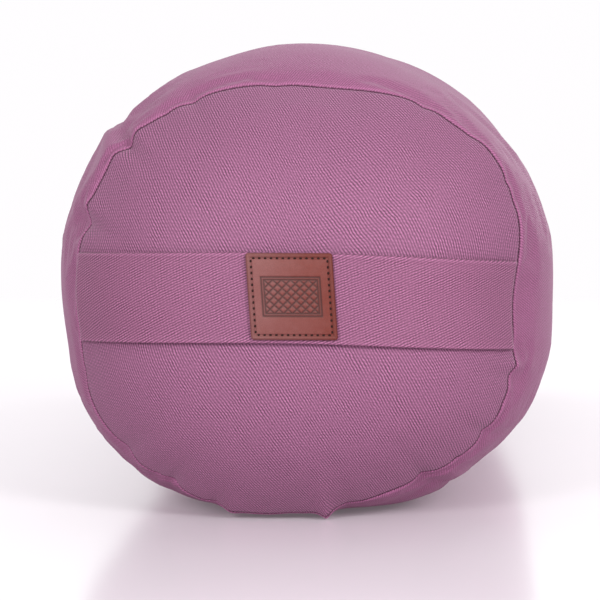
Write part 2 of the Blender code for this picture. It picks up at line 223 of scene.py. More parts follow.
@dataclass(frozen=True)
class BolsterForm:
    """The outer shape that every piece follows, with the sizes that the solids were made from."""

    seam_to_seam: float = 0.568
    axis_height: float = 0.0975
    seam_radius: float = 0.0936
    belly_radius: float = 0.1120
    shoulder_length: float = 0.050
    floor_sink: float = 0.0025
    floor_sharpness: float = 12.0
    least_downward: float = 0.05
    lump_size: float = 0.085
    lump_height: float = 0.0016
    crown_height: float = 0.040
    crown_power: float = 3.2
    dimple_share: float = 0.3
    dimple_power: float = 12.0
    seam_tuck: float = 0.0030
    fade_power: float = 1.5
    valley_power: float = 1.6
    lip_side: float = 1.5
    lip_start: float = 0.004
    lobe_reach: tuple[float, float] = (0.06, 0.24)
    centre_shift: tuple[float, float, float] = (-0.0001, 0.0030, 0.0)
    seam_dip: float = 0.0021
    seam_fold: float = 0.0019
    stitches_round: int = 400
    stitch_pull: float = 0.34
    profile_points: int = 240
    crown_points: int = 400

    @property
    def seam_y(self) -> float:
        """Half the distance between the two seams."""
        return self.seam_to_seam / 2

    def lobes_at(self, clock: np.ndarray, lobes: tuple[Lobe, ...]) -> np.ndarray:
        """Adds up how far the lobes push an outline out.

        Args:
            clock: Clock angles in degrees.
            lobes: The outline's lobes.

        Returns:
            The swell at each clock angle.
        """
        total = np.zeros_like(clock)
        for lobe in lobes:
            away = np.minimum(np.abs(clock_difference(clock, lobe.clock)) / lobe.spread, 1.0)
            total += lobe.swell * 0.5 * (1 + np.cos(np.pi * away))
        return total

    def puckers_at(self, clock: np.ndarray, inward: np.ndarray, puckers: tuple[Pucker, ...]) -> np.ndarray:
        """Adds up how far the puckers draw the cloth in.

        Args:
            clock: Clock angles in degrees.
            inward: Distances from the seam along the tube.
            puckers: One end's puckers.

        Returns:
            The depths in metres, below 0 on a fold's raised lip.
        """
        total = np.zeros_like(clock)
        for pucker in puckers:
            along = np.maximum(0.0, inward - self.seam_tuck)
            away = clock_difference(clock, pucker.clock + pucker.slant * along) / pucker.spread
            fade = np.exp(-((along / pucker.reach) ** self.fade_power))
            valley = np.exp(-np.abs(away) ** self.valley_power)
            side = away - math.copysign(self.lip_side, pucker.lip)
            lip = abs(pucker.lip) * np.exp(-(side**2)) * smooth_step(0.0, self.lip_start, along)
            total += pucker.depth * (valley - lip) * fade
        return total

    def limited_by_floor(self, radius: np.ndarray, clock: np.ndarray) -> np.ndarray:
        """Holds radii softly back where the tube presses on the floor.

        Args:
            radius: The radii before that.
            clock: Their clock angles in degrees.

        Returns:
            The radii that the floor leaves.
        """
        downward = -np.sin(np.radians(clock))
        reach = (self.axis_height + self.floor_sink) / np.maximum(downward, self.least_downward)
        power = self.floor_sharpness
        held = (radius**-power + reach**-power) ** (-1 / power)
        return np.where(downward < self.least_downward, radius, held)

    def seam_reach(self, clock: np.ndarray, end: End) -> np.ndarray:
        """Gives one seam's radius at each clock angle, before its puckers."""
        lobes = FRONT_SEAM_LOBES if end is End.FRONT else BACK_SEAM_LOBES
        return self.seam_radius + self.lobes_at(clock, lobes)

    def settle(self, points: np.ndarray) -> np.ndarray:
        """Moves points of the plain turned bolster to where the filled cloth really lies.

        Args:
            points: The plain points, one row each.

        Returns:
            The settled points, before the shift that centres the whole bolster.
        """
        x, y, z = points.T
        up = z - self.axis_height
        radius = np.hypot(x, up)
        clock = np.degrees(np.arctan2(up, x))
        front = y < 0
        inward = self.seam_y - np.abs(y)
        seam = np.where(front, self.seam_reach(clock, End.FRONT), self.seam_reach(clock, End.BACK))
        drawn_in = np.where(
            front,
            self.puckers_at(clock, inward, FRONT_PUCKERS),
            self.puckers_at(clock, inward, BACK_PUCKERS),
        )
        belly_lobes = np.where(
            front,
            self.lobes_at(clock, FRONT_BELLY_LOBES),
            self.lobes_at(clock, BACK_BELLY_LOBES),
        )
        near_end = 1 - smooth_step(*self.lobe_reach, inward)
        lump = self.lump_height * np.array([noise.noise(Vector(p) / self.lump_size) for p in points])
        belly = self.limited_by_floor(self.belly_radius + near_end * belly_lobes + lump, clock)
        share = (radius - self.seam_radius) / (self.belly_radius - self.seam_radius)
        on_end = radius <= self.seam_radius
        dimple = np.minimum(1.0, radius / self.seam_radius) ** self.dimple_power
        rim_share = np.where(on_end, dimple, 1 - share)
        end_radius = radius * seam / self.seam_radius - drawn_in * rim_share
        new_radius = np.where(on_end, end_radius, seam + share * (belly - seam) - drawn_in)
        push_in = self.dimple_share * drawn_in * rim_share
        new_y = y + np.where(front, push_in, -push_in)
        turned = np.radians(clock)
        new_z = np.maximum(0.0, self.axis_height + new_radius * np.sin(turned))
        return np.stack([new_radius * np.cos(turned), new_y, new_z], -1)

    def settled(self, x: np.ndarray, y: np.ndarray, up: np.ndarray) -> np.ndarray:
        """Settles whole rings or grids of plain points, with their heights given above the axis."""
        plain = np.stack(np.broadcast_arrays(x, y, self.axis_height + up), -1)
        return self.settle(plain.reshape(-1, 3)).reshape(plain.shape)

    def crown_at(self, radius: np.ndarray) -> np.ndarray:
        """How far an end panel stands out from its seam's plane at a plain radius."""
        return self.crown_height * (1 - np.minimum(1.0, radius / self.seam_radius) ** self.crown_power)

    def crown_lean(self, radius: np.ndarray) -> np.ndarray:
        """How far an end panel's outward direction turns from the tube's axis at a plain radius."""
        steepness = np.minimum(1.0, radius / self.seam_radius) ** (self.crown_power - 1)
        return np.arctan(self.crown_height * self.crown_power * steepness / self.seam_radius)

    def crown_arc(self, radius: np.ndarray) -> np.ndarray:
        """Measures an end panel's cloth outward from its middle.

        Args:
            radius: Plain radii.

        Returns:
            The distance along the cloth to each radius.
        """
        places = np.linspace(0.0, self.seam_radius, self.crown_points)
        steps = np.diff(places) / np.cos(self.crown_lean((places[1:] + places[:-1]) / 2))
        return np.interp(radius, places, np.concatenate([[0.0], np.cumsum(steps)]))

    @staticmethod
    def outward(clock: np.ndarray, lean: np.ndarray, facing: np.ndarray | float) -> np.ndarray:
        """The cloth's outward direction.

        Args:
            clock: Clock angles in radians.
            lean: How far the direction turns from the tube's axis.
            facing: -1 towards the front end and 1 towards the back one.

        Returns:
            One direction for each place.
        """
        parts = (np.sin(lean) * np.cos(clock), facing * np.cos(lean), np.sin(lean) * np.sin(clock))
        return np.stack(np.broadcast_arrays(*parts), -1)

    def dip_at(self, from_seam: np.ndarray) -> np.ndarray:
        """How deep the cloth dives at a distance from the seam line, where it folds round into the seam."""
        near = np.clip(1 - from_seam / self.seam_fold, 0.0, 1.0)
        return self.seam_dip * (1 - np.sqrt(1 - near**2))

    def stitch_wave(self, clock: np.ndarray) -> np.ndarray:
        """The fold's depth varies a little from stitch to stitch, round clock angles in radians."""
        return 1 + self.stitch_pull * np.cos(clock * self.stitches_round)

    def shoulder(self, arcs: np.ndarray) -> tuple[np.ndarray, np.ndarray, np.ndarray]:
        """The side panel's plain profile, from a seam to the middle.

        Args:
            arcs: Distances along the cloth from the seam.

        Returns:
            The radius, the distance inward from the seam's plane, and the turn of the outward normal from
            the axis.
        """
        share = np.linspace(0.0, 1.0, self.profile_points)
        step = self.belly_radius - self.seam_radius
        radius = self.seam_radius + step * (1 - (1 - share) ** 2)
        inward = self.shoulder_length * share
        walked = np.concatenate([[0.0], np.cumsum(np.hypot(np.diff(radius), np.diff(inward)))])
        past = np.maximum(0.0, arcs - walked[-1])
        lean = np.arctan2(self.shoulder_length, 2 * step * (1 - share))
        read_radius = np.interp(arcs, walked, radius)
        read_inward = np.interp(arcs, walked, inward) + past
        return read_radius, read_inward, np.interp(arcs, walked, lean)

    def half_length(self) -> float:
        """Measures the side panel's cloth.

        Returns:
            Its length from a seam to the middle.
        """
        share = np.linspace(0.0, 1.0, self.profile_points)
        rise = (self.belly_radius - self.seam_radius) * np.diff((1 - share) ** 2)
        shoulder = np.hypot(rise, self.shoulder_length * np.diff(share)).sum()
        return float(shoulder) + self.seam_y - self.shoulder_length

    def panel_y(self, x: np.ndarray, up: np.ndarray) -> np.ndarray:
        """Finds the front panel's outer face.

        Args:
            x: Places across the panel.
            up: Their heights above the tube's axis.

        Returns:
            The face's y at each place.
        """
        clock = np.degrees(np.arctan2(up, x))
        plain_radius = np.hypot(x, up) * self.seam_radius / self.seam_reach(clock, End.FRONT)
        return -(self.seam_y + self.crown_at(plain_radius))


@dataclass
class Skin:
    """A mesh in the making: its points, its faces, and where each point lies on the flat cloth."""

    points: list[np.ndarray]
    places: list[np.ndarray]
    faces: list[tuple[int, ...]]
    count: int = 0

    @classmethod
    def empty(cls) -> "Skin":
        """Starts with nothing."""
        return cls([], [], [])

    def add_points(self, points: np.ndarray, places: np.ndarray) -> int:
        """Adds points with their places on the flat cloth.

        Args:
            points: Points with 3 numbers each.
            places: Places with 2 numbers each.

        Returns:
            The first point's number.
        """
        first = self.count
        self.points.append(points.reshape(-1, 3))
        self.places.append(places.reshape(-1, 2))
        self.count += len(self.points[-1])
        return first

    def add_rings(self, points: np.ndarray, places: np.ndarray) -> int:
        """Adds closed rings joined by quads.

        Args:
            points: Rings by columns by 3.
            places: Rings by columns by 2.

        Returns:
            The number of the first ring's first point.
        """
        rings, columns = points.shape[:2]
        first = self.add_points(points, places)
        for ring in range(rings - 1):
            self.join_rings(first + ring * columns, first + (ring + 1) * columns, columns, columns)
        return first

    def join_rings(self, upper: int, lower: int, upper_columns: int, lower_columns: int) -> None:
        """Joins two rings that start at the same clock angle.

        One of them may have several columns for each of the other's.

        Args:
            upper: The first point of one ring.
            lower: The first point of the other ring.
            upper_columns: How many points the first ring has.
            lower_columns: How many points the other ring has.
        """
        coarse = min(upper_columns, lower_columns)
        upper_step, lower_step = upper_columns // coarse, lower_columns // coarse
        for column in range(coarse):
            top = [upper + (column * upper_step + k) % upper_columns for k in range(upper_step + 1)]
            bottom = [lower + (column * lower_step + k) % lower_columns for k in range(lower_step + 1)]
            self.faces.append(tuple(top + bottom[::-1]))

    def close_ring(self, ring: int, columns: int, point: np.ndarray, place: np.ndarray) -> None:
        """Closes a ring with a fan round one point.

        Args:
            ring: The ring's first point.
            columns: How many points it has.
            point: The point in the middle.
            place: Its place on the flat cloth.
        """
        pole = self.add_points(point, place)
        for column in range(columns):
            self.faces.append((ring + column, ring + (column + 1) % columns, pole))

    def add_grid(self, points: np.ndarray, places: np.ndarray) -> np.ndarray:
        """Adds an open grid of quads.

        Args:
            points: Rows by columns by 3.
            places: Rows by columns by 2.

        Returns:
            The points' numbers, rows by columns.
        """
        rows, columns = points.shape[:2]
        number = self.add_points(points, places) + np.arange(rows * columns).reshape(rows, columns)
        corners = (number[:-1, :-1], number[:-1, 1:], number[1:, 1:], number[1:, :-1])
        quads = np.stack([corner.ravel() for corner in corners], -1)
        self.faces.extend(map(tuple, quads.tolist()))
        return number

    def make(
        self,
        name: str,
        shift: tuple[float, float, float],
        turn_length: float = 0.0,
    ) -> bpy.types.Object:
        """Turns the skin into an object with faces out, smooth shading and a map of the flat cloth.

        Args:
            name: The object's name.
            shift: Where the whole bolster's centring moves it.
            turn_length: The flat length of one full turn, where the cloth goes right round.

        Returns:
            The linked object.
        """
        mesh = bpy.data.meshes.new(name)
        mesh.from_pydata(np.concatenate(self.points).tolist(), [], self.faces)
        self.lay_flat_map(mesh, np.concatenate(self.places), turn_length)
        work = bmesh.new()
        work.from_mesh(mesh)
        bmesh.ops.recalc_face_normals(work, faces=work.faces)
        work.to_mesh(mesh)
        work.free()
        mesh.transform(Matrix.Translation(shift))
        mesh.shade_smooth()
        obj = bpy.data.objects.new(name, mesh)
        bpy.context.scene.collection.objects.link(obj)
        return obj

    @staticmethod
    def lay_flat_map(mesh: bpy.types.Mesh, places: np.ndarray, turn_length: float) -> None:
        """Writes each face corner's place on the flat cloth, and carries a full turn's last column round.

        Args:
            mesh: The mesh.
            places: Each point's place on the flat cloth.
            turn_length: The flat length of one full turn, or 0 where the cloth doesn't go right round.
        """
        corners = np.empty(len(mesh.loops), np.int64)
        mesh.loops.foreach_get("vertex_index", corners)
        starts = np.empty(len(mesh.polygons), np.int64)
        totals = np.empty(len(mesh.polygons), np.int64)
        mesh.polygons.foreach_get("loop_start", starts)
        mesh.polygons.foreach_get("loop_total", totals)
        flat = places[corners]
        if turn_length:
            widest = np.repeat(np.maximum.reduceat(flat[:, 0], starts), totals)
            flat[:, 0] += np.where(widest - flat[:, 0] > turn_length / 2, turn_length, 0.0)
        layer = mesh.uv_layers.new(name=CLOTH_MAP)
        layer.uv.foreach_set("vector", flat.astype(np.float32).ravel())


def ring_clocks(columns: int) -> np.ndarray:
    """The clock angles of a ring's columns. They start at the lower right, as a square's corners do."""
    return FIRST_CLOCK + FULL_TURN * np.arange(columns) / columns


def round_square(cells: int, radius: float) -> tuple[np.ndarray, np.ndarray]:
    """Maps a square grid onto a disc, so that its cells stay even and its border is evenly spaced.

    Args:
        cells: Cells along each side of the square.
        radius: The disc's radius.

    Returns:
        The grid's x and its height above the axis, both cells + 1 by cells + 1.
    """
    line = np.linspace(-1.0, 1.0, cells + 1)
    along, across = np.meshgrid(line, line, indexing="ij")
    wide = np.abs(along) >= np.abs(across)
    longer = np.where(wide, along, across)
    shorter = np.where(wide, across, along)
    angle = math.pi / 4 * shorter / np.where(longer == 0, 1.0, longer)
    first, second = radius * longer * np.cos(angle), radius * longer * np.sin(angle)
    return np.where(wide, first, second), np.where(wide, second, first)


def square_border(number: np.ndarray) -> list[int]:
    """Lists a square grid's border points.

    Args:
        number: The grid's point numbers.

    Returns:
        The border's point numbers, in ring_clocks order.
    """
    right, top = number[-1, :-1], number[:0:-1, -1]
    left, bottom = number[0, :0:-1], number[:-1, 0]
    return [int(point) for side in (right, top, left, bottom) for point in side]


@dataclass
class Relief:
    """Fine wrinkles of the cloth, as heights over the plain skin of the side panel and both end panels."""

    side: np.ndarray
    side_arcs: np.ndarray
    ends: dict[End, np.ndarray]

    def on_side(self, arcs: np.ndarray, clocks: np.ndarray) -> np.ndarray:
        """Reads the side panel's wrinkles.

        Args:
            arcs: Distances along the cloth from the front seam.
            clocks: Clock angles of the columns.

        Returns:
            Heights, arcs by columns.
        """
        rings = np.interp(arcs, self.side_arcs, np.arange(len(self.side_arcs)))
        columns = (clocks - FIRST_CLOCK) / FULL_TURN * self.side.shape[1]
        rows = between(self.side, rings, wrap=False)
        return between(rows.T, columns, wrap=True).T

    def on_end(self, end: End, cells: int) -> np.ndarray:
        """Reads one end panel's wrinkles on a finer square grid.

        Args:
            end: Which end.
            cells: Cells along each side of the grid.

        Returns:
            Heights, cells + 1 by cells + 1.
        """
        heights = self.ends[end]
        places = np.linspace(0.0, len(heights) - 1, cells + 1)
        rows = between(heights, places, wrap=False)
        return between(rows.T, places, wrap=False).T


@dataclass
class ClothRun:
    """Blows the closed skin up gently as slightly loose cloth held at its seams.

    Only the fine wrinkles that this gives are kept.
    """

    form: BolsterForm
    columns: int = 240
    cells: int = 60
    shoulder_step: float = 0.0024
    middle_step: float = 0.0068
    shoulder_arc: float = 0.066
    frames: int = 16
    looseness: float = 0.009
    pressure: float = 5.0
    stiffness: float = 32.0
    bending: float = 0.5
    quality: int = 4
    mass: float = 0.25
    smoothing_passes: int = 60
    smoothing: float = 0.7
    cap: float = 0.0024

    def arcs(self) -> np.ndarray:
        """Spaces the skin's rings along the side panel.

        Returns:
            Their distances from the front seam.
        """
        half = self.form.half_length()
        near = np.linspace(0.0, self.shoulder_arc, round(self.shoulder_arc / self.shoulder_step) + 1)
        middle_rings = round((half - self.shoulder_arc) / self.middle_step) + 1
        middle = np.linspace(self.shoulder_arc, half, middle_rings)
        first = np.concatenate([near, middle[1:]])
        return np.concatenate([first, 2 * half - first[-2::-1]])

    def build(self) -> tuple[bpy.types.Object, dict[End, np.ndarray], int]:
        """Makes the closed skin.

        Returns:
            The object, each end panel's point numbers, and how many points the side panel has.
        """
        form, arcs, half = self.form, self.arcs(), self.form.half_length()
        end_arcs = np.minimum(arcs, 2 * half - arcs)
        radius, inward, _ = form.shoulder(end_arcs)
        side_y = np.where(arcs < half, -1.0, 1.0) * (form.seam_y - inward)
        clock = np.radians(ring_clocks(self.columns))
        x, up = radius[:, None] * np.cos(clock), radius[:, None] * np.sin(clock)
        skin = Skin.empty()
        skin.add_rings(form.settled(x, side_y[:, None], up), np.zeros(x.shape + (2,)))
        side_count = skin.count
        numbers = {}
        for end in End:
            x, up = round_square(self.cells, form.seam_radius)
            y = end.value * (form.seam_y + form.crown_at(np.hypot(x, up)))
            numbers[end] = skin.add_grid(form.settled(x, y, up), np.zeros(x.shape + (2,)))
        skin.faces = self.welded_faces(skin, numbers)
        obj = skin.make("cloth_run", (0.0, 0.0, 0.0))
        return obj, numbers, side_count

    def welded_faces(self, skin: Skin, numbers: dict[End, np.ndarray]) -> list[tuple[int, ...]]:
        """Makes each end panel use the side panel's own seam points along its border.

        Args:
            skin: The mesh in the making.
            numbers: Each end panel's point numbers.

        Returns:
            The skin's faces, joined at both seams.
        """
        last_ring = (len(self.arcs()) - 1) * self.columns
        same = {}
        for end, first in ((End.FRONT, 0), (End.BACK, last_ring)):
            for column, point in enumerate(square_border(numbers[end])):
                same[point] = first + column
        return [tuple(same.get(point, point) for point in face) for face in skin.faces]

    def run(self) -> Relief:
        """Runs the cloth and reads its fine wrinkles.

        Returns:
            The wrinkles on all three panels.
        """
        obj, numbers, side_count = self.build()
        mesh = obj.data
        arcs = self.arcs()
        rest = np.empty(len(mesh.vertices) * 3, np.float32)
        mesh.vertices.foreach_get("co", rest)
        normals = np.empty(len(mesh.vertices) * 3, np.float32)
        mesh.vertices.foreach_get("normal", normals)
        seam = list(range(self.columns)) + list(range(side_count - self.columns, side_count))
        borders = {point for end in End for point in square_border(numbers[end])}
        obj.vertex_groups.new(name="seams").add(seam + sorted(borders), 1.0, "REPLACE")
        self.set_up_cloth(obj)
        for step in range(1, self.frames + 1):
            bpy.context.scene.frame_set(step)
        moved = np.empty_like(rest)
        blown = obj.evaluated_get(bpy.context.evaluated_depsgraph_get()).to_mesh()
        blown.vertices.foreach_get("co", moved)
        lift = ((moved - rest).reshape(-1, 3) * normals.reshape(-1, 3)).sum(1)
        fine = self.fine_part(mesh, lift)
        bpy.context.scene.frame_set(1)
        bpy.data.objects.remove(obj)
        side = fine[:side_count].reshape(len(arcs), self.columns)
        ends = {end: fine[number] for end, number in numbers.items()}
        return Relief(side, arcs, ends)

    def set_up_cloth(self, obj: bpy.types.Object) -> None:
        """Gives the skin its cloth settings: slightly loose, held at the seams, gravity off.

        Args:
            obj: The skin's object.
        """
        cloth = obj.modifiers.new("Cloth", "CLOTH")
        settings = cloth.settings
        settings.quality = self.quality
        settings.mass = self.mass
        settings.tension_stiffness = self.stiffness
        settings.compression_stiffness = self.stiffness
        settings.shear_stiffness = self.stiffness / 2
        settings.bending_stiffness = self.bending
        settings.use_pressure = True
        settings.uniform_pressure_force = self.pressure
        settings.vertex_group_mass = "seams"
        settings.shrink_min = -self.looseness
        settings.shrink_max = -self.looseness
        settings.effector_weights.gravity = 0.0
        cloth.collision_settings.use_collision = False
        cloth.point_cache.frame_start = 1
        cloth.point_cache.frame_end = self.frames

    def fine_part(self, mesh: bpy.types.Mesh, lift: np.ndarray) -> np.ndarray:
        """Takes the slow swelling off the lift, so that only wrinkles are left, and caps them.

        Args:
            mesh: The skin, whose edges say which points are neighbours.
            lift: How far each point moved along its normal.

        Returns:
            The wrinkles' heights.
        """
        ends = np.empty(len(mesh.edges) * 2, np.int64)
        mesh.edges.foreach_get("vertices", ends)
        first, second = ends.reshape(-1, 2).T
        count = len(lift)
        neighbours = np.maximum(np.bincount(ends, minlength=count), 1)
        slow = lift.copy()
        for _ in range(self.smoothing_passes):
            around = np.bincount(first, slow[second], count)
            around += np.bincount(second, slow[first], count)
            slow = (1 - self.smoothing) * slow + self.smoothing * around / neighbours
        return np.clip(lift - slow, -self.cap, self.cap)


@dataclass
class StuffedTube:
    """The side panel with its filling, as one closed padded form that dives into a fold at both seams."""

    form: BolsterForm
    relief: Relief
    fine_columns: int = 1600
    columns: int = 400
    relief_near_seam: float = 0.80
    relief_in_middle: float = 0.42
    floor_fade: float = 0.012
    relief_change: tuple[float, float] = (0.03, 0.11)
    relief_start: float = 0.004
    under_panel: float = 0.0018
    first_arc: float = 0.0036
    shoulder_arc: float = 0.070
    least_step: float = 0.0009
    step_growth: float = 0.12
    most_step: float = 0.0026
    middle_step: float = 0.0078
    fold_arcs: tuple[float, ...] = (0.0, 0.00006, 0.00018, 0.00036, 0.0006, 0.0009, 0.0013, 0.0019, 0.0027)
    hidden_shares: tuple[float, ...] = (0.985, 0.94, 0.86, 0.70, 0.45, 0.2)

    def body_arcs(self) -> np.ndarray:
        """Spaces the rings beyond the fold: close on the shoulder, and wider apart along the middle.

        Returns:
            Their distances along the cloth from the front seam.
        """
        half = self.form.half_length()
        near = [self.first_arc]
        while near[-1] < self.shoulder_arc:
            near.append(near[-1] + min(self.most_step, self.least_step + self.step_growth * near[-1]))
        middle = np.linspace(near[-1], half, round((half - near[-1]) / self.middle_step) + 1)
        first = np.concatenate([near, middle[1:]])
        return np.concatenate([first, 2 * half - first[-2::-1]])

    def rings_at(self, arcs: np.ndarray, columns: int) -> tuple[np.ndarray, np.ndarray]:
        """Places rings of the side panel.

        Args:
            arcs: Distances along the cloth from the front seam.
            columns: Points round each ring.

        Returns:
            The points and their places on the flat cloth.
        """
        form, half = self.form, self.form.half_length()
        clocks = ring_clocks(columns)
        clock = np.radians(clocks)
        to_seam = np.minimum(arcs, 2 * half - arcs)
        facing = np.where(arcs < half, -1.0, 1.0)[:, None]
        radius, inward, lean = (part[:, None] for part in form.shoulder(to_seam))
        plain_y = facing * (form.seam_y - inward)
        points = form.settled(radius * np.cos(clock), plain_y, radius * np.sin(clock))
        lift = self.relief.on_side(arcs, clocks) * self.gain_at(to_seam)[:, None]
        lift *= smooth_step(0.0, self.floor_fade, points[..., 2])
        dip = form.dip_at(to_seam)[:, None] * form.stitch_wave(clock)
        points += (lift - dip)[..., None] * form.outward(clock, lean, facing)
        points[..., 2] = np.maximum(0.0, points[..., 2])
        around = np.arange(columns) / columns * self.turn_length()
        places = np.stack(np.broadcast_arrays(around[None, :], arcs[:, None]), -1)
        return points, places

    def gain_at(self, to_seam: np.ndarray) -> np.ndarray:
        """Says how much of the wrinkles shows.

        Args:
            to_seam: Distances from the nearer seam.

        Returns:
            The shares.
        """
        middle = smooth_step(*self.relief_change, to_seam)
        start = smooth_step(0.0, self.relief_start, to_seam)
        return start * (self.relief_near_seam + middle * (self.relief_in_middle - self.relief_near_seam))

    def turn_length(self) -> float:
        """The flat length of one turn of the side panel."""
        return 2 * math.pi * self.form.belly_radius

    def add_fold(self, skin: Skin, end: End, body_ring: int) -> None:
        """Adds one seam's fold and the hidden crown under the end panel.

        Args:
            skin: The mesh in the making.
            end: Which seam.
            body_ring: The first point of the nearest ring of the side panel's body.
        """
        form, whole = self.form, 2 * self.form.half_length()
        arcs = np.array(self.fold_arcs[::-1])
        points, places = self.rings_at(arcs if end is End.FRONT else whole - arcs, self.fine_columns)
        fold = skin.add_rings(points, places)
        skin.join_rings(body_ring, fold, self.columns, self.fine_columns)
        fold_edge = fold + (len(arcs) - 1) * self.fine_columns
        clock = np.radians(ring_clocks(self.columns))
        shares = np.array(self.hidden_shares)
        radius = (form.seam_radius * shares)[:, None] * np.ones(self.columns)
        deep = form.seam_dip + self.under_panel
        x, up = radius * np.cos(clock), radius * np.sin(clock)
        crown = form.settled(x, end.value * (form.seam_y + form.crown_at(radius)), up)
        crown -= deep * form.outward(clock, form.crown_lean(radius), end.value)
        hidden = skin.add_rings(crown, np.stack([x, form.axis_height + up], -1))
        skin.join_rings(fold_edge, hidden, self.fine_columns, self.columns)
        pole = np.array([0.0, end.value * (form.seam_y + form.crown_height - deep), form.axis_height])
        last = hidden + (len(shares) - 1) * self.columns
        skin.close_ring(last, self.columns, pole, np.array([0.0, form.axis_height]))

    def make(self) -> bpy.types.Object:
        """Returns:
            The side panel with its filling.
        """
        arcs = self.body_arcs()
        skin = Skin.empty()
        body = skin.add_rings(*self.rings_at(arcs, self.columns))
        self.add_fold(skin, End.FRONT, body)
        self.add_fold(skin, End.BACK, body + (len(arcs) - 1) * self.columns)
        obj = skin.make("side_panel_and_filling", self.form.centre_shift, self.turn_length())
        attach(obj, BODY)
        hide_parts("filled_tube")
        return obj


@dataclass
class EndPanel:
    """One round end panel: a sheet of twill, crowned over the filling, that dives into the seam at its rim.

    Under the strap its wrinkles are pressed down.
    """

    form: BolsterForm
    relief: Relief
    end: End
    cut_width: float = 0.224
    fine_columns: int = 1600
    cells: int = 100
    thickness: float = 0.0010
    seam_gap: float = 0.00012
    relief_share: float = 0.30
    relief_start: float = 0.005
    strap_band: float = 0.026
    band_from: float = 0.8
    pressed_share: float = 0.8
    weld_distance: float = 0.000002
    fold_steps: tuple[float, ...] = (0.0027, 0.0019, 0.0013, 0.0009, 0.0006, 0.00036, 0.00018, 0.0)
    inner_edge: float = 0.0026

    def place(self, x: np.ndarray, up: np.ndarray, lift: np.ndarray) -> tuple[np.ndarray, np.ndarray]:
        """Places points of the panel's outer face.

        Args:
            x: Plain places across the panel.
            up: Plain heights above the axis.
            lift: How far the wrinkles raise each point.

        Returns:
            The points and their places on the flat cloth.
        """
        form = self.form
        radius = np.hypot(x, up)
        clock = np.arctan2(up, x)
        points = form.settled(x, self.end.value * (form.seam_y + form.crown_at(radius)), up)
        points += lift[..., None] * form.outward(clock, form.crown_lean(radius), self.end.value)
        arc = form.crown_arc(radius)
        return points, np.stack([arc * np.cos(clock), arc * np.sin(clock)], -1)

    def make(self) -> bpy.types.Object:
        """Returns:
            The end panel's cloth.
        """
        form = self.form
        rim = form.seam_radius - self.seam_gap
        x, up = round_square(self.cells, rim - self.inner_edge)
        radius = np.hypot(x, up)
        lift = self.relief.on_end(self.end, self.cells) * self.relief_share
        lift = lift * smooth_step(0.0, self.relief_start, rim - radius)
        if self.end is End.FRONT:
            under_strap = 1 - smooth_step(self.strap_band * self.band_from, self.strap_band, np.abs(up))
            lift = np.where(lift > 0, lift * (1 - self.pressed_share * under_strap), lift)
        skin = Skin.empty()
        number = skin.add_grid(*self.place(x, up, lift))
        clock = np.radians(ring_clocks(self.fine_columns))
        steps = np.array(self.fold_steps)
        ring_radius = (rim - steps * np.cos(form.crown_lean(rim)))[:, None] * np.ones(self.fine_columns)
        dip = form.dip_at(steps)[:, None] * form.stitch_wave(clock)
        ring_x, ring_up = ring_radius * np.cos(clock), ring_radius * np.sin(clock)
        rings = skin.add_rings(*self.place(ring_x, ring_up, -dip))
        edge = square_border(number)
        border = skin.add_points(np.concatenate(skin.points)[edge], np.concatenate(skin.places)[edge])
        skin.join_rings(rings, border, self.fine_columns, 4 * self.cells)
        obj = skin.make(f"end_panel_{self.end.name.lower()}_cloth", form.centre_shift)
        self.finish_sheet(obj)
        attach(obj, BODY)
        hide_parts(f"end_panel_{self.end.name.lower()}")
        return obj

    def finish_sheet(self, obj: bpy.types.Object) -> None:
        """Welds the rim rings to the middle and gives the cloth its thickness.

        Args:
            obj: The end panel's cloth.
        """
        work = bmesh.new()
        work.from_mesh(obj.data)
        bmesh.ops.remove_doubles(work, verts=work.verts, dist=self.weld_distance)
        bmesh.ops.recalc_face_normals(work, faces=work.faces)
        axis = Vector((0.0, self.form.axis_height))
        middle = min(work.faces, key=lambda face: (face.calc_center_median().xz - axis).length)
        if middle.normal.y * self.end.value < 0:
            bmesh.ops.reverse_faces(work, faces=work.faces)
        work.to_mesh(obj.data)
        work.free()
        thicken = obj.modifiers.new("Solidify", "SOLIDIFY")
        thicken.thickness = self.thickness
        thicken.offset = -1.0


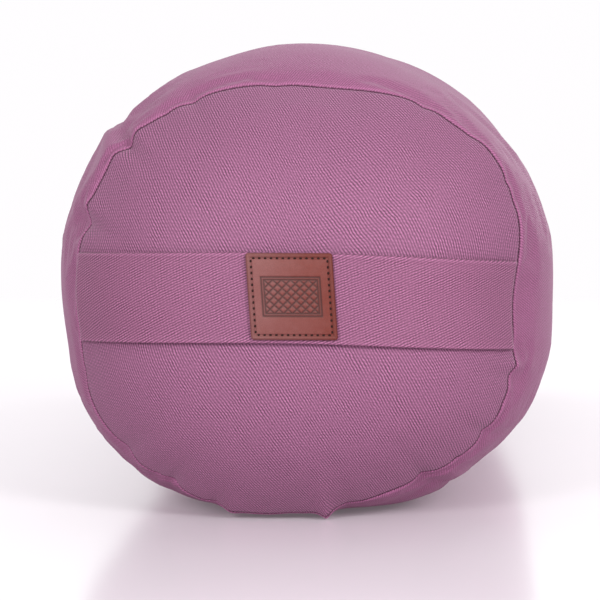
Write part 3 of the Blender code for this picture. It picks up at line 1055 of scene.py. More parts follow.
@dataclass
class CarryStrap:
    """The flat carry strap: a folded band of twill whose ends are caught in the front seam."""

    form: BolsterForm
    width: float = 0.0390
    cut_length: float = 0.234
    thickness: float = 0.0018
    gap: float = 0.0004
    ease: float = 0.0008
    ease_power: float = 6.0
    rise: float = 0.0039
    end_fall: float = 0.0042
    tilt_deg: float = -0.87
    end_inset: float = 0.0006
    end_drop: float = 0.0022
    end_drop_length: float = 0.0026
    ridge_height: float = 0.00022
    ridge_width: float = 0.0008
    ridge_inset: float = 0.0013
    groove_share: float = 0.5
    groove_width: float = 0.0007
    groove_inset: float = 0.0034
    sections: int = 280
    end_spacing: float = 0.94
    face_points: int = 44
    edge_points: int = 9
    back_points: int = 12
    seam_passes: int = 4
    slope_step: float = 0.0005
    sharp_deg: float = 60.0

    def end_x(self, up: np.ndarray, side: np.ndarray) -> np.ndarray:
        """Finds where the strap meets the seam.

        Args:
            up: Heights above the axis.
            side: -1 for the left end and 1 for the right one.

        Returns:
            The distance from the axis to the seam, across the panel.
        """
        reach = np.full_like(up, self.form.seam_radius)
        for _ in range(self.seam_passes):
            clock = np.degrees(np.arctan2(up, side * reach))
            reach = np.sqrt((self.form.seam_reach(clock, End.FRONT) - self.end_inset) ** 2 - up**2)
        return reach

    def back_y(self, x: np.ndarray, up: np.ndarray) -> np.ndarray:
        """The strap's inner face: against the end panel at the seam, and eased a little off it between."""
        share = np.minimum(1.0, np.abs(x) / self.form.seam_radius)
        return self.form.panel_y(x, up) - self.gap - self.ease * (1 - share**self.ease_power)

    def outward(self, x: np.ndarray, up: np.ndarray) -> np.ndarray:
        """Finds the direction of the strap's thickness, away from the end panel.

        Args:
            x: Places across the panel.
            up: Their heights above the axis.

        Returns:
            One direction for each place.
        """
        step = self.slope_step
        slope_x = (self.back_y(x + step, up) - self.back_y(x - step, up)) / (2 * step)
        slope_up = (self.back_y(x, up + step) - self.back_y(x, up - step)) / (2 * step)
        direction = np.stack([slope_x, -np.ones_like(slope_x), slope_up], -1)
        return direction / np.linalg.norm(direction, axis=-1, keepdims=True)

    def drop_at(self, x: np.ndarray, up: np.ndarray) -> np.ndarray:
        """How far the strap's ends dive into the seam."""
        left = self.end_x(up, np.sign(x) + (x == 0)) - np.abs(x)
        return self.end_drop * np.clip(1 - left / self.end_drop_length, 0.0, 1.0) ** 2

    def ridge_at(self, from_edge: np.ndarray) -> np.ndarray:
        """Raises the strap's face a little over its turned-in edges.

        Args:
            from_edge: Distances from the strap's edge.

        Returns:
            The heights that this adds, below 0 in the groove beside each edge.
        """
        raised = self.ridge_height * np.exp(-(((from_edge - self.ridge_inset) / self.ridge_width) ** 2))
        in_groove = np.exp(-(((from_edge - self.groove_inset) / self.groove_width) ** 2))
        return raised - self.groove_share * self.ridge_height * in_groove

    def section(self) -> tuple[np.ndarray, np.ndarray]:
        """The strap's closed cross-section with rounded edges.

        Returns:
            Places across the strap, and heights above its inner face.
        """
        half, rounding = self.width / 2, self.thickness / 2
        flat = half - rounding
        turn = np.linspace(math.pi / 2, -math.pi / 2, self.edge_points)
        face = np.linspace(-flat, flat, self.face_points)
        back = np.linspace(flat, -flat, self.back_points)
        across = np.concatenate([face, flat + rounding * np.cos(turn[1:-1]), back])
        across = np.concatenate([across, -flat - rounding * np.cos(turn[-2:0:-1])])
        height = np.concatenate([np.full_like(face, self.thickness), rounding * (1 + np.sin(turn[1:-1]))])
        height = np.concatenate([height, np.zeros_like(back), rounding * (1 + np.sin(turn[-2:0:-1]))])
        outer = height > rounding
        height = np.where(outer, height + self.ridge_at(half - np.abs(across)), height)
        return across, height

    def make(self) -> bpy.types.Object:
        """Builds the strap.

        Returns:
            The strap.
        """
        form = self.form
        across, height = self.section()
        turn = np.linspace(-math.pi / 2, math.pi / 2, self.sections) * self.end_spacing
        length_share = (np.sin(turn) / math.sin(math.pi / 2 * self.end_spacing))[:, None]
        flat_x = length_share * form.seam_radius
        middle = self.rise - self.end_fall * length_share**2 + flat_x * math.tan(math.radians(self.tilt_deg))
        up = middle + across[None, :]
        side = np.where(length_share > 0, 1.0, -1.0) * np.ones_like(up)
        x = length_share * self.end_x(up, side)
        inner = np.stack([x, self.back_y(x, up), form.axis_height + up], -1)
        points = inner + (height[None, :] - self.drop_at(x, up))[..., None] * self.outward(x, up)
        walked = np.cumsum(np.linalg.norm(np.diff(inner.mean(1), axis=0), axis=1))
        along = np.concatenate([[0.0], walked])[:, None]
        places = np.stack(np.broadcast_arrays(along - along[-1] / 2, across[None, :]), -1)
        skin = Skin.empty()
        first = skin.add_rings(points, places)
        columns = len(across)
        for ring in (first, first + (self.sections - 1) * columns):
            skin.faces.append(tuple(range(ring, ring + columns)))
        obj = skin.make("carry_strap_band", form.centre_shift)
        obj.data.set_sharp_from_angle(angle=math.radians(self.sharp_deg))
        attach(obj, BODY)
        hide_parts("carry_strap")
        return obj


@dataclass
class LeatherPatch:
    """The small leather patch: raised rounded rim, a sunk stitching line and a tooled diamond panel."""

    strap: CarryStrap
    side: float = 0.0371
    thickness: float = 0.0016
    gap: float = 0.0004
    corner: float = 0.0013
    centre: tuple[float, float] = (-0.0013, 0.0048)
    skew_deg: float = 4.0
    cells: int = 150
    grid_turn: float = 1.25
    edge_round: float = 0.0008
    edge_heights: tuple[float, ...] = (0.0005, 0.0001, 0.0)
    edge_draws: tuple[float, ...] = (1.0, 0.997, 0.985)
    rim_height: float = 0.00022
    rim_inset: float = 0.0009
    rim_width: float = 0.0005
    pillow_height: float = 0.00022
    pillow_reach: tuple[float, float] = (0.002, 0.007)
    stitch_inset: float = 0.0022
    stitch_sink: float = 0.00038
    stitch_groove: float = 0.00040
    stitch_lift: float = 0.00022
    stitch_share: float = 0.48
    stitch_thickness: float = 0.00094
    stitches_a_side: int = 13
    tool_line: float = 0.00040
    tool_depth: float = 0.00042
    panel_half: tuple[float, float] = (0.0114, 0.0072)
    frame_gap: float = 0.0011
    diamonds: tuple[int, int] = (6, 4)

    def corner_drawn(self, across: np.ndarray, up: np.ndarray) -> tuple[np.ndarray, np.ndarray]:
        """Rounds the square's corners by drawing its points in.

        Args:
            across: Places across the square.
            up: Their heights in it.

        Returns:
            Both again, drawn in.
        """
        flat = self.side / 2 - self.corner
        past_x = np.maximum(0.0, np.abs(across) - flat)
        past_up = np.maximum(0.0, np.abs(up) - flat)
        both = (past_x > 0) & (past_up > 0)
        longer = np.maximum(past_x, past_up)
        shrink = np.where(both, longer / np.maximum(np.hypot(past_x, past_up), TINY), 1.0)
        new_across = np.where(both, np.copysign(flat + past_x * shrink, across), across)
        new_up = np.where(both, np.copysign(flat + past_up * shrink, up), up)
        return new_across, new_up

    def tooling(self, across: np.ndarray, up: np.ndarray) -> np.ndarray:
        """Says where the tooled lines run: a double frame, and diamonds within it.

        Args:
            across: Places across the patch.
            up: Their heights on it.

        Returns:
            Shares of the lines' depth.
        """
        half_x, half_up = self.panel_half
        inside = (np.abs(across) < half_x) & (np.abs(up) < half_up)
        step_x, step_up = 2 * half_x / self.diamonds[0], 2 * half_up / self.diamonds[1]
        rising = (across + half_x) / step_x + (up + half_up) / step_up
        falling = (across + half_x) / step_x - (up + half_up) / step_up
        scale = 1 / math.hypot(1 / step_x, 1 / step_up)
        near_rising = np.abs((rising + 0.5) % 1.0 - 0.5) * scale
        near_falling = np.abs((falling + 0.5) % 1.0 - 0.5) * scale
        diamond = np.where(inside, np.minimum(near_rising, near_falling), 1.0)
        outside_x, outside_up = np.abs(across) - half_x, np.abs(up) - half_up
        box = np.abs(np.maximum(outside_x, outside_up))
        outer = np.abs(np.maximum(outside_x, outside_up) - self.frame_gap)
        near = np.minimum(np.minimum(diamond, box), outer)
        return np.exp(-((near / self.tool_line) ** 2))

    def face_height(self, across: np.ndarray, up: np.ndarray) -> np.ndarray:
        """Shapes the patch's outer face.

        Args:
            across: Places across the patch.
            up: Their heights on it.

        Returns:
            How far the face stands above the patch's back.
        """
        from_edge = self.side / 2 - np.maximum(np.abs(across), np.abs(up))
        near = np.clip(1 - from_edge / self.edge_round, 0.0, 1.0)
        rounding = self.edge_round * (1 - np.sqrt(1 - near**2))
        rim = self.rim_height * np.exp(-(((from_edge - self.rim_inset) / self.rim_width) ** 2))
        sunk = self.stitch_sink * np.exp(-(((from_edge - self.stitch_inset) / self.stitch_groove) ** 2))
        pillow = self.pillow_height * smooth_step(*self.pillow_reach, from_edge)
        pressed = self.tool_depth * self.tooling(across, up)
        return self.thickness - rounding + rim - sunk + pillow - pressed

    def place(self, across: np.ndarray, up: np.ndarray, height: np.ndarray) -> np.ndarray:
        """Places points of the patch on the strap's outer face.

        Args:
            across: Places across the patch.
            up: Their heights on it.
            height: How far they stand off its back.

        Returns:
            The points.
        """
        drawn_x, drawn_up = self.corner_drawn(across, up)
        x = self.centre[0] + drawn_x - drawn_up * math.tan(math.radians(self.skew_deg))
        true_up = self.centre[1] + drawn_up
        strap = self.strap
        y = strap.back_y(x, true_up) - strap.thickness - self.gap - height
        return np.stack([x, y, strap.form.axis_height + true_up], -1)

    def make(self) -> bpy.types.Object:
        """Builds the patch: its tooled face, its cut edge and its back.

        Returns:
            The patch.
        """
        half = self.side / 2
        turn = np.linspace(-1, 1, self.cells + 1) * self.grid_turn
        line = half * np.sin(turn) / math.sin(self.grid_turn)
        across, up = np.meshgrid(line, line, indexing="ij")
        skin = Skin.empty()
        raised = self.place(across, up, self.face_height(across, up))
        face = skin.add_grid(raised, np.stack([across, up], -1))
        border = square_border(face)
        edge_across, edge_up = across.ravel()[border], up.ravel()[border]
        columns = len(border)
        heights = np.array(self.edge_heights)[:, None] * np.ones(columns)
        draw = np.array(self.edge_draws)[:, None]
        cut_across, cut_up = draw * edge_across, draw * edge_up
        rings = skin.add_rings(self.place(cut_across, cut_up, heights), np.stack([cut_across, cut_up], -1))
        for column in range(columns):
            after = (column + 1) % columns
            skin.faces.append((border[column], border[after], rings + after, rings + column))
        back = rings + (len(self.edge_draws) - 1) * columns
        skin.faces.append(tuple(range(back, back + columns)))
        obj = skin.make("leather_patch_tooled", self.strap.form.centre_shift)
        worked = np.zeros(skin.count, np.float32)
        worked[: across.size] = self.tooling(across, up).ravel()
        obj.data.attributes.new(TOOLED, "FLOAT", "POINT").data.foreach_set("value", worked)
        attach(obj, BODY)
        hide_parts("leather_patch")
        return obj

    def stitch_lines(self) -> tuple[np.ndarray, np.ndarray]:
        """Where each stitch round the patch starts and stops.

        Returns:
            Two arrays of points: each stitch's two ends.
        """
        inset = self.side / 2 - self.stitch_inset
        pitch = 2 * inset / self.stitches_a_side
        start = -inset + pitch * (np.arange(self.stitches_a_side) + 0.5 - self.stitch_share / 2)
        stop = start + self.stitch_share * pitch
        edge = np.full_like(start, inset)
        sides = (
            (start, edge, stop, edge),
            (start, -edge, stop, -edge),
            (edge, start, edge, stop),
            (-edge, start, -edge, stop),
        )
        height = self.thickness - self.stitch_sink + self.stitch_lift
        first = [self.place(a, b, height * np.ones_like(a)) for a, b, _, _ in sides]
        second = [self.place(c, d, height * np.ones_like(c)) for _, _, c, d in sides]
        return np.concatenate(first), np.concatenate(second)


@dataclass
class Stitching:
    """A row of separate thread stitches, each a short sausage that sinks into the cloth at both ends."""

    name: str
    thickness: float
    rings: int = 7
    around: int = 6
    sink: float = 0.0003
    least_swell: float = 0.04
    flat_length: float = 0.002
    flat_turn: float = 0.0002

    def make(
        self,
        first: np.ndarray,
        second: np.ndarray,
        outward: np.ndarray,
        shift: tuple[float, float, float],
    ) -> bpy.types.Object:
        """Builds the stitches as one object.

        Args:
            first: Where each stitch starts.
            second: Where each stitch stops.
            outward: The cloth's outward direction at each stitch.
            shift: Where the whole bolster's centring moves them.

        Returns:
            The object.
        """
        along = np.linspace(0.0, 1.0, self.rings)
        swell = np.sqrt(np.maximum(self.least_swell, 1 - (2 * along - 1) ** 4))
        arch = self.sink * (1 - (2 * along - 1) ** 2)
        turns = 2 * math.pi * np.arange(self.around) / self.around
        flat = (along[:, None] * self.flat_length, turns[None] * self.flat_turn)
        places = np.stack(np.broadcast_arrays(*flat), -1)
        skin = Skin.empty()
        for start, stop, out in zip(first, second, outward):
            run = (stop - start) / np.linalg.norm(stop - start)
            side = np.cross(run, out)
            side /= np.linalg.norm(side)
            lift = np.cross(side, run)
            spine = start + (stop - start) * along[:, None] + out * (arch - self.sink)[:, None]
            radius = (self.thickness / 2 * swell)[:, None, None]
            ring = np.cos(turns)[:, None] * side + np.sin(turns)[:, None] * lift
            points = spine[:, None, :] + radius * ring[None]
            begin = skin.add_rings(points, places)
            for edge in (begin, begin + (self.rings - 1) * self.around):
                skin.faces.append(tuple(range(edge, edge + self.around)))
        obj = skin.make(self.name, shift)
        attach(obj, BODY)
        return obj


@dataclass
class SeamStitching:
    """The stitches that show in the fold of one round seam."""

    form: BolsterForm
    end: End
    thickness: float = 0.00042
    length_share: float = 0.62
    depth: float = 0.00085
    lean: float = 0.00012

    def seam_points(self, clocks: np.ndarray, off_line: float) -> np.ndarray:
        """Points in the seam's fold.

        Args:
            clocks: Their clock angles.
            off_line: How far they lie outside the seam line.

        Returns:
            The points.
        """
        form = self.form
        clock = np.radians(clocks)
        radius = form.seam_radius + off_line
        y = np.full_like(clock, self.end.value * form.seam_y)
        points = form.settled(radius * np.cos(clock), y, radius * np.sin(clock))
        lean = form.crown_lean(np.full_like(clock, form.seam_radius))
        return points - self.depth * form.outward(clock, lean, self.end.value)

    def make(self) -> bpy.types.Object:
        """Builds one stitch for each wave of the fold.

        Returns:
            The stitches, as one object.
        """
        pitch = FULL_TURN / self.form.stitches_round
        middle = pitch * (np.arange(self.form.stitches_round) + 0.5)
        half = pitch * self.length_share / 2
        first = self.seam_points(middle - half, 0.0)
        second = self.seam_points(middle + half, self.lean)
        outward = np.tile([0.0, float(self.end.value), 0.0], (len(middle), 1))
        name = f"seam_stitches_{self.end.name.lower()}"
        return Stitching(name, self.thickness).make(first, second, outward, self.form.centre_shift)


class NodeBench:
    """Adds and joins nodes in one shader node tree."""

    def __init__(self, tree: bpy.types.NodeTree) -> None:
        """Keeps the tree that the nodes go into."""
        self.tree = tree

    def add(
        self,
        kind: str,
        inputs: dict[str | int, object] | None = None,
        **settings: object,
    ) -> bpy.types.Node:
        """Adds a node.

        Args:
            kind: The node's type, without the word ShaderNode.
            inputs: Values or sockets for its inputs.
            settings: Values for its properties.

        Returns:
            The node.
        """
        node = self.tree.nodes.new("ShaderNode" + kind)
        for name, value in settings.items():
            setattr(node, name, value)
        for key, value in (inputs or {}).items():
            self.feed(node.inputs[key], value)
        return node

    def feed(self, socket: bpy.types.NodeSocket, value: object) -> None:
        """Joins a socket to an input, or sets the input's value.

        Args:
            socket: The input.
            value: The socket or the value.
        """
        if isinstance(value, bpy.types.NodeSocket):
            self.tree.links.new(value, socket)
        else:
            socket.default_value = value

    def math(self, operation: str, *values: object, clamp: bool = False) -> bpy.types.NodeSocket:
        """Adds a Math node and gives its result."""
        node = self.add("Math", dict(enumerate(values)), operation=operation, use_clamp=clamp)
        return node.outputs[0]

    def mix(self, factor: object, first: object, second: object) -> bpy.types.NodeSocket:
        """Mixes two colours.

        Args:
            factor: The second colour's share.
            first: The first colour.
            second: The second colour.

        Returns:
            The mixed colour.
        """
        node = self.add("Mix", data_type="RGBA", blend_type="MIX")
        self.feed(node.inputs["Factor"], factor)
        self.feed(node.inputs[6], first)
        self.feed(node.inputs[7], second)
        return node.outputs[2]

    def noise(self, place: object, scale: object, detail: float = 2.0) -> bpy.types.NodeSocket:
        """Adds a Noise texture and gives its value, which is about 0.5 on average."""
        node = self.add("TexNoise", {"Vector": place, "Scale": scale, "Detail": detail})
        return node.outputs["Fac"]

    def levels(
        self,
        value: object,
        low: float,
        high: float,
        to_low: float,
        to_high: float,
    ) -> bpy.types.NodeSocket:
        """Maps one range of values onto another, held within it.

        Args:
            value: The value or socket to map.
            low: Where the first range starts.
            high: Where the first range ends.
            to_low: What low becomes.
            to_high: What high becomes.

        Returns:
            The mapped value.
        """
        inputs = {0: value, 1: low, 2: high, 3: to_low, 4: to_high}
        return self.add("MapRange", inputs, clamp=True).outputs[0]

    def raise_surface(self, shader: bpy.types.Node, height: object, distance: float, strength: float) -> None:
        """Feeds a shader's Normal with a bump.

        Args:
            shader: The material's shader.
            height: The socket that gives the height.
            distance: How far a height of 1 stands out, in metres.
            strength: The share of it that shows.
        """
        bump = self.add("Bump", {"Height": height, "Distance": distance, "Strength": strength})
        self.feed(shader.inputs["Normal"], bump.outputs[0])


class NodeGroup:
    """A shader node group with named inputs and outputs, built once."""

    def __init__(self, name: str, inputs: dict[str, object], outputs: dict[str, str]) -> None:
        """Makes the group and its sockets.

        Args:
            name: The group's name.
            inputs: Each input's default value, or the word Vector for a place.
            outputs: Each output's socket kind.
        """
        self.tree = bpy.data.node_groups.new(name, "ShaderNodeTree")
        for socket_name, value in inputs.items():
            kind = "NodeSocketVector" if value == "Vector" else "NodeSocketFloat"
            socket = self.tree.interface.new_socket(socket_name, in_out="INPUT", socket_type=kind)
            if kind == "NodeSocketFloat":
                socket.default_value = value
        for socket_name, kind in outputs.items():
            self.tree.interface.new_socket(socket_name, in_out="OUTPUT", socket_type="NodeSocket" + kind)
        self.bench = NodeBench(self.tree)
        self.into = self.tree.nodes.new("NodeGroupInput").outputs
        self.out = self.tree.nodes.new("NodeGroupOutput").inputs

    def put_into(self, bench: NodeBench, values: dict[str | int, object]) -> bpy.types.Node:
        """Places the group in a material with its own values."""
        return bench.add("Group", values, node_tree=self.tree)


class TwillWeave(NodeGroup):
    """A twill's diagonal wales crossed by rows of weft, so that each float of yarn stands up as a bead."""

    drift_scale: float = 330.0
    row_drift: float = -1.3
    tension_scale: float = 150.0
    tension_levels: tuple[float, float, float, float] = (0.32, 0.68, 0.45, 1.0)
    mean_height: float = 0.405
    slub_scale: float = 1300.0
    slub_height: float = 0.3

    def __init__(self) -> None:
        """Builds the group."""
        inputs = {
            "Place": "Vector",
            "Wale Turn": 0.51,
            "Wale Pitch": 0.00111,
            "Row Turn": 1.53,
            "Row Pitch": 0.00142,
            "Row Share": 0.38,
            "Wander": 0.60,
        }
        outputs = {"Height": "Float", "Furrow": "Float", "Slub": "Float"}
        super().__init__("twill_weave", inputs, outputs)
        bench, into = self.bench, self.into
        drift = bench.math("SUBTRACT", bench.noise(into["Place"], self.drift_scale, 1.0), 0.5)
        wander = bench.math("MULTIPLY", drift, into["Wander"])
        wale = self.wave(into["Wale Turn"], into["Wale Pitch"], wander)
        row_wander = bench.math("MULTIPLY", wander, self.row_drift)
        row = self.wave(into["Row Turn"], into["Row Pitch"], row_wander)
        rest = bench.math("SUBTRACT", 1.0, into["Row Share"])
        bead = bench.math("MULTIPLY_ADD", row, into["Row Share"], rest)
        float_height = bench.math("MULTIPLY", wale, bead)
        tension = bench.levels(bench.noise(into["Place"], self.tension_scale), *self.tension_levels)
        off_mean = bench.math("SUBTRACT", float_height, self.mean_height)
        height = bench.math("MULTIPLY_ADD", off_mean, tension, self.mean_height)
        slub = bench.noise(into["Place"], self.slub_scale)
        bench.feed(self.out["Height"], bench.math("MULTIPLY_ADD", slub, self.slub_height, height))
        # The furrow output only sets how much painted shade the cloth's colour takes in the furrows.
        bench.feed(self.out["Furrow"], bench.math("SUBTRACT", 1.0, height, clamp=True))
        bench.feed(self.out["Slub"], slub)

    def wave(
        self,
        turn: bpy.types.NodeSocket,
        pitch: bpy.types.NodeSocket,
        wander: bpy.types.NodeSocket,
    ) -> bpy.types.NodeSocket:
        """Adds one set of parallel ridges.

        Args:
            turn: The direction across the ridges, in radians from the cloth's width.
            pitch: The distance from ridge to ridge.
            wander: How far the ridges stray, as a share of the pitch.

        Returns:
            Their height, from 0 to 1.
        """
        bench = self.bench
        apart = bench.add("SeparateXYZ", {0: self.into["Place"]})
        wide = bench.math("MULTIPLY", apart.outputs[0], bench.math("COSINE", turn))
        across = bench.math("MULTIPLY_ADD", apart.outputs[1], bench.math("SINE", turn), wide)
        count = bench.math("ADD", bench.math("DIVIDE", across, pitch), wander)
        ridge = bench.math("COSINE", bench.math("MULTIPLY", count, 2 * math.pi))
        return bench.math("MULTIPLY_ADD", ridge, 0.5, 0.5)


class SoftWear(NodeGroup):
    """Slow patches where a surface is a little faded or a little more handled."""

    fine_times: float = 7.0
    fine_share: float = 0.4

    def __init__(self) -> None:
        """Builds the group."""
        inputs = {"Place": "Vector", "Size": 9.0, "Amount": 0.1}
        super().__init__("soft_wear", inputs, {"Fade": "Float"})
        bench, into = self.bench, self.into
        broad = bench.noise(into["Place"], into["Size"], 3.0)
        fine = bench.noise(into["Place"], bench.math("MULTIPLY", into["Size"], self.fine_times))
        most = bench.math("MULTIPLY", broad, 1 - self.fine_share)
        both = bench.math("MULTIPLY_ADD", fine, self.fine_share, most)
        centred = bench.math("SUBTRACT", both, 0.5)
        bench.feed(self.out["Fade"], bench.math("MULTIPLY", centred, into["Amount"]))


def new_material(name: str) -> tuple[bpy.types.Material, NodeBench, bpy.types.Node]:
    """Makes a material with a Principled shader.

    Args:
        name: Its name.

    Returns:
        The material, its bench and its shader.
    """
    material = bpy.data.materials.new(name)
    material.use_nodes = True
    return material, NodeBench(material.node_tree), material.node_tree.nodes["Principled BSDF"]


@dataclass(frozen=True)
class TwillFinish:
    """A matte twill in one colour of yarn, with painted light on its crests and painted shade in the furrows
    between.
    """

    name: str
    cloth: tuple[float, float, float]
    weave: Weave
    lit_crest: float = 1.92
    furrow: float = 0.37
    wale_pitch: float = 0.00111
    row_pitch: float = 0.00142
    relief: float = 0.00012
    relief_strength: float = 0.9
    slub_levels: tuple[float, float, float, float] = (0.3, 0.7, 0.82, 1.18)
    fade_size: float = 9.0
    fade_amount: float = 0.16
    roughness: float = 0.55
    gloss: float = 0.24
    gloss_tint: tuple[float, float, float] = (1.0, 0.72, 0.88)
    sheen: float = 0.05
    sheen_roughness: float = 0.5
    sheen_tint: tuple[float, float, float] = (1.0, 0.86, 0.95)
    edge_middle: float = 0.0
    edge_half: float = 0.0
    round_edge: bool = False
    # The edge values paint shade in the fold at the cloth's edge and a highlight on the rolled edge beside
    # it.
    edge_highlight: float = 0.20
    edge_shade: float = 0.15
    shade_width: float = 0.0006
    shade_from: float = 0.4
    highlight_from: float = 0.5
    highlight_fade: tuple[float, float] = (1.5, 3.0)

    def edge_lines(self, bench: NodeBench, cloth: bpy.types.NodeSocket) -> bpy.types.NodeSocket:
        """Painted shade down in the fold at the cloth's edge, and a painted highlight along the rolled edge
        next to it.

        Args:
            bench: The material's bench.
            cloth: The place on the flat cloth.

        Returns:
            How much brighter the cloth is, below 0 where it is darker.
        """
        if self.round_edge:
            from_middle = bench.add("VectorMath", {0: cloth}, operation="LENGTH").outputs["Value"]
        else:
            across = bench.add("SeparateXYZ", {0: cloth}).outputs[1]
            from_middle = bench.math("ABSOLUTE", bench.math("SUBTRACT", across, self.edge_middle))
        from_edge = bench.math("SUBTRACT", self.edge_half, from_middle)
        width = self.shade_width
        fade_start, fade_stop = (width * times for times in self.highlight_fade)
        # dark is painted shade in the fold, and rise is a painted highlight on the rolled edge.
        dark = bench.levels(from_edge, width * self.shade_from, width, -self.edge_shade, 0.0)
        rise = bench.levels(from_edge, width * self.highlight_from, width, 0.0, self.edge_highlight)
        fall = bench.levels(from_edge, fade_start, fade_stop, 1.0, 0.0)
        return bench.math("MULTIPLY_ADD", rise, fall, dark)

    def make(self, twill: TwillWeave, wear: SoftWear) -> bpy.types.Material:
        """Builds the material.

        Args:
            twill: The weave group.
            wear: The wear group.

        Returns:
            The material.
        """
        material, bench, shader = new_material(self.name)
        cloth = bench.add("UVMap", uv_map=CLOTH_MAP).outputs[0]
        wale_turn, row_turn = (math.radians(turn) for turn in self.weave.value)
        weave = twill.put_into(
            bench,
            {
                "Place": cloth,
                "Wale Turn": wale_turn,
                "Wale Pitch": self.wale_pitch,
                "Row Turn": row_turn,
                "Row Pitch": self.row_pitch,
            },
        )
        place = bench.add("TexCoord").outputs["Object"]
        fade_values = {"Place": place, "Size": self.fade_size, "Amount": self.fade_amount}
        fade = wear.put_into(bench, fade_values).outputs["Fade"]
        lit_crest = tuple(self.lit_crest * part for part in self.cloth)
        furrow = tuple(self.furrow * part for part in self.cloth)
        # Painted light and shade: the one yarn colour is made lighter on the weave's crests and darker in its
        # furrows.
        colour = bench.mix(weave.outputs["Furrow"], (*lit_crest, 1.0), (*furrow, 1.0))
        brightness = bench.math("ADD", bench.levels(weave.outputs["Slub"], *self.slub_levels), fade)
        brightness = bench.math("ADD", brightness, self.edge_lines(bench, cloth))
        shaded = bench.add("HueSaturation", {"Color": colour, "Value": brightness}).outputs[0]
        bench.feed(shader.inputs["Base Color"], shaded)
        bench.raise_surface(shader, weave.outputs["Height"], self.relief, self.relief_strength)
        shader.inputs["Roughness"].default_value = self.roughness
        shader.inputs["Specular IOR Level"].default_value = self.gloss
        shader.inputs["Specular Tint"].default_value = (*self.gloss_tint, 1.0)
        shader.inputs["Sheen Weight"].default_value = self.sheen
        shader.inputs["Sheen Roughness"].default_value = self.sheen_roughness
        shader.inputs["Sheen Tint"].default_value = (*self.sheen_tint, 1.0)
        return material


@dataclass(frozen=True)
class ThreadFinish:
    """Sewing thread: a fine two-ply twist with a slight shine."""

    name: str
    colour: tuple[float, float, float]
    dark: tuple[float, float, float]
    roughness: float = 0.55
    gloss: float = 0.35
    twist_scale: float = 900.0
    twist_bend: float = 1.5
    fade_size: float = 60.0
    fade_amount: float = 0.5
    relief: float = 0.00005
    relief_strength: float = 0.6

    def make(self, wear: SoftWear) -> bpy.types.Material:
        """Builds the material.

        Args:
            wear: The wear group.

        Returns:
            The material.
        """
        material, bench, shader = new_material(self.name)
        place = bench.add("TexCoord").outputs["Object"]
        twist_values = {"Vector": place, "Scale": self.twist_scale, "Distortion": self.twist_bend}
        twist = bench.add("TexWave", twist_values, bands_direction="DIAGONAL").outputs["Fac"]
        fade_values = {"Place": place, "Size": self.fade_size, "Amount": self.fade_amount}
        fade = wear.put_into(bench, fade_values).outputs["Fade"]
        colour = bench.mix(twist, (*self.dark, 1.0), (*self.colour, 1.0))
        brightness = bench.math("ADD", 1.0, fade)
        shaded = bench.add("HueSaturation", {"Color": colour, "Value": brightness}).outputs[0]
        bench.feed(shader.inputs["Base Color"], shaded)
        bench.raise_surface(shader, twist, self.relief, self.relief_strength)
        shader.inputs["Roughness"].default_value = self.roughness
        shader.inputs["Specular IOR Level"].default_value = self.gloss
        return material


@dataclass(frozen=True)
class LeatherFinish:
    """Smooth waxed leather with a fine grain, dark in its tooled lines and along its pressed rim."""

    name: str
    half_side: float
    hide: tuple[float, float, float] = (0.146, 0.024, 0.015)
    paler_left: tuple[float, float, float] = (0.212, 0.078, 0.074)
    burnt: tuple[float, float, float] = (0.036, 0.009, 0.008)
    rim_width: float = 0.0024
    rim_soft: tuple[float, float] = (0.0003, 0.0002)
    rim_dark: float = 0.16
    tooled_dark: float = 0.92
    paler_left_share: float = 0.85
    fade_size: float = 55.0
    fade_amount: float = 0.9
    grain_scale: float = 1700.0
    pore_scale: float = 2600.0
    speck_levels: tuple[float, float, float, float] = (0.35, 0.65, 0.88, 1.10)
    pore_depth: float = 0.5
    relief: float = 0.00008
    relief_strength: float = 0.5
    roughness_levels: tuple[float, float, float, float] = (0.2, 0.8, 0.42, 0.58)
    gloss: float = 0.32

    def make(self, wear: SoftWear) -> bpy.types.Material:
        """Builds the material.

        Args:
            wear: The wear group.

        Returns:
            The material.
        """
        material, bench, shader = new_material(self.name)
        place = bench.add("TexCoord").outputs["Object"]
        flat = bench.add("UVMap", uv_map=CLOTH_MAP).outputs[0]
        grain_values = {"Vector": place, "Scale": self.grain_scale}
        grain = bench.add("TexVoronoi", grain_values, feature="SMOOTH_F1").outputs["Distance"]
        pores = bench.noise(place, self.pore_scale, 3.0)
        fade_values = {"Place": place, "Size": self.fade_size, "Amount": self.fade_amount}
        fade = wear.put_into(bench, fade_values).outputs["Fade"]
        apart = bench.add("SeparateXYZ", {0: flat})
        # The colour goes paler towards the left of the patch, with slow random fading on top.
        leftward = bench.levels(apart.outputs[0], -self.half_side, self.half_side, 1.0, 0.0)
        paler_share = bench.math("ADD", bench.math("MULTIPLY", leftward, self.paler_left_share), fade, clamp=True)
        colour = bench.mix(paler_share, (*self.hide, 1.0), (*self.paler_left, 1.0))
        from_sides, from_ends = (bench.math("ABSOLUTE", apart.outputs[axis]) for axis in (0, 1))
        outermost = bench.math("MAXIMUM", from_sides, from_ends)
        inner = self.half_side - self.rim_width
        rim = bench.levels(outermost, inner - self.rim_soft[0], inner + self.rim_soft[1], 0.0, self.rim_dark)
        tooled = bench.add("Attribute", attribute_name=TOOLED).outputs["Fac"]
        burnt = bench.math("MAXIMUM", bench.math("MULTIPLY", tooled, self.tooled_dark), rim)
        colour = bench.mix(burnt, colour, (*self.burnt, 1.0))
        speck = bench.levels(pores, *self.speck_levels)
        shaded = bench.add("HueSaturation", {"Color": colour, "Value": speck}).outputs[0]
        bench.feed(shader.inputs["Base Color"], shaded)
        height = bench.math("MULTIPLY_ADD", pores, self.pore_depth, grain)
        bench.raise_surface(shader, height, self.relief, self.relief_strength)
        bench.feed(shader.inputs["Roughness"], bench.levels(pores, *self.roughness_levels))
        shader.inputs["Specular IOR Level"].default_value = self.gloss
        return material


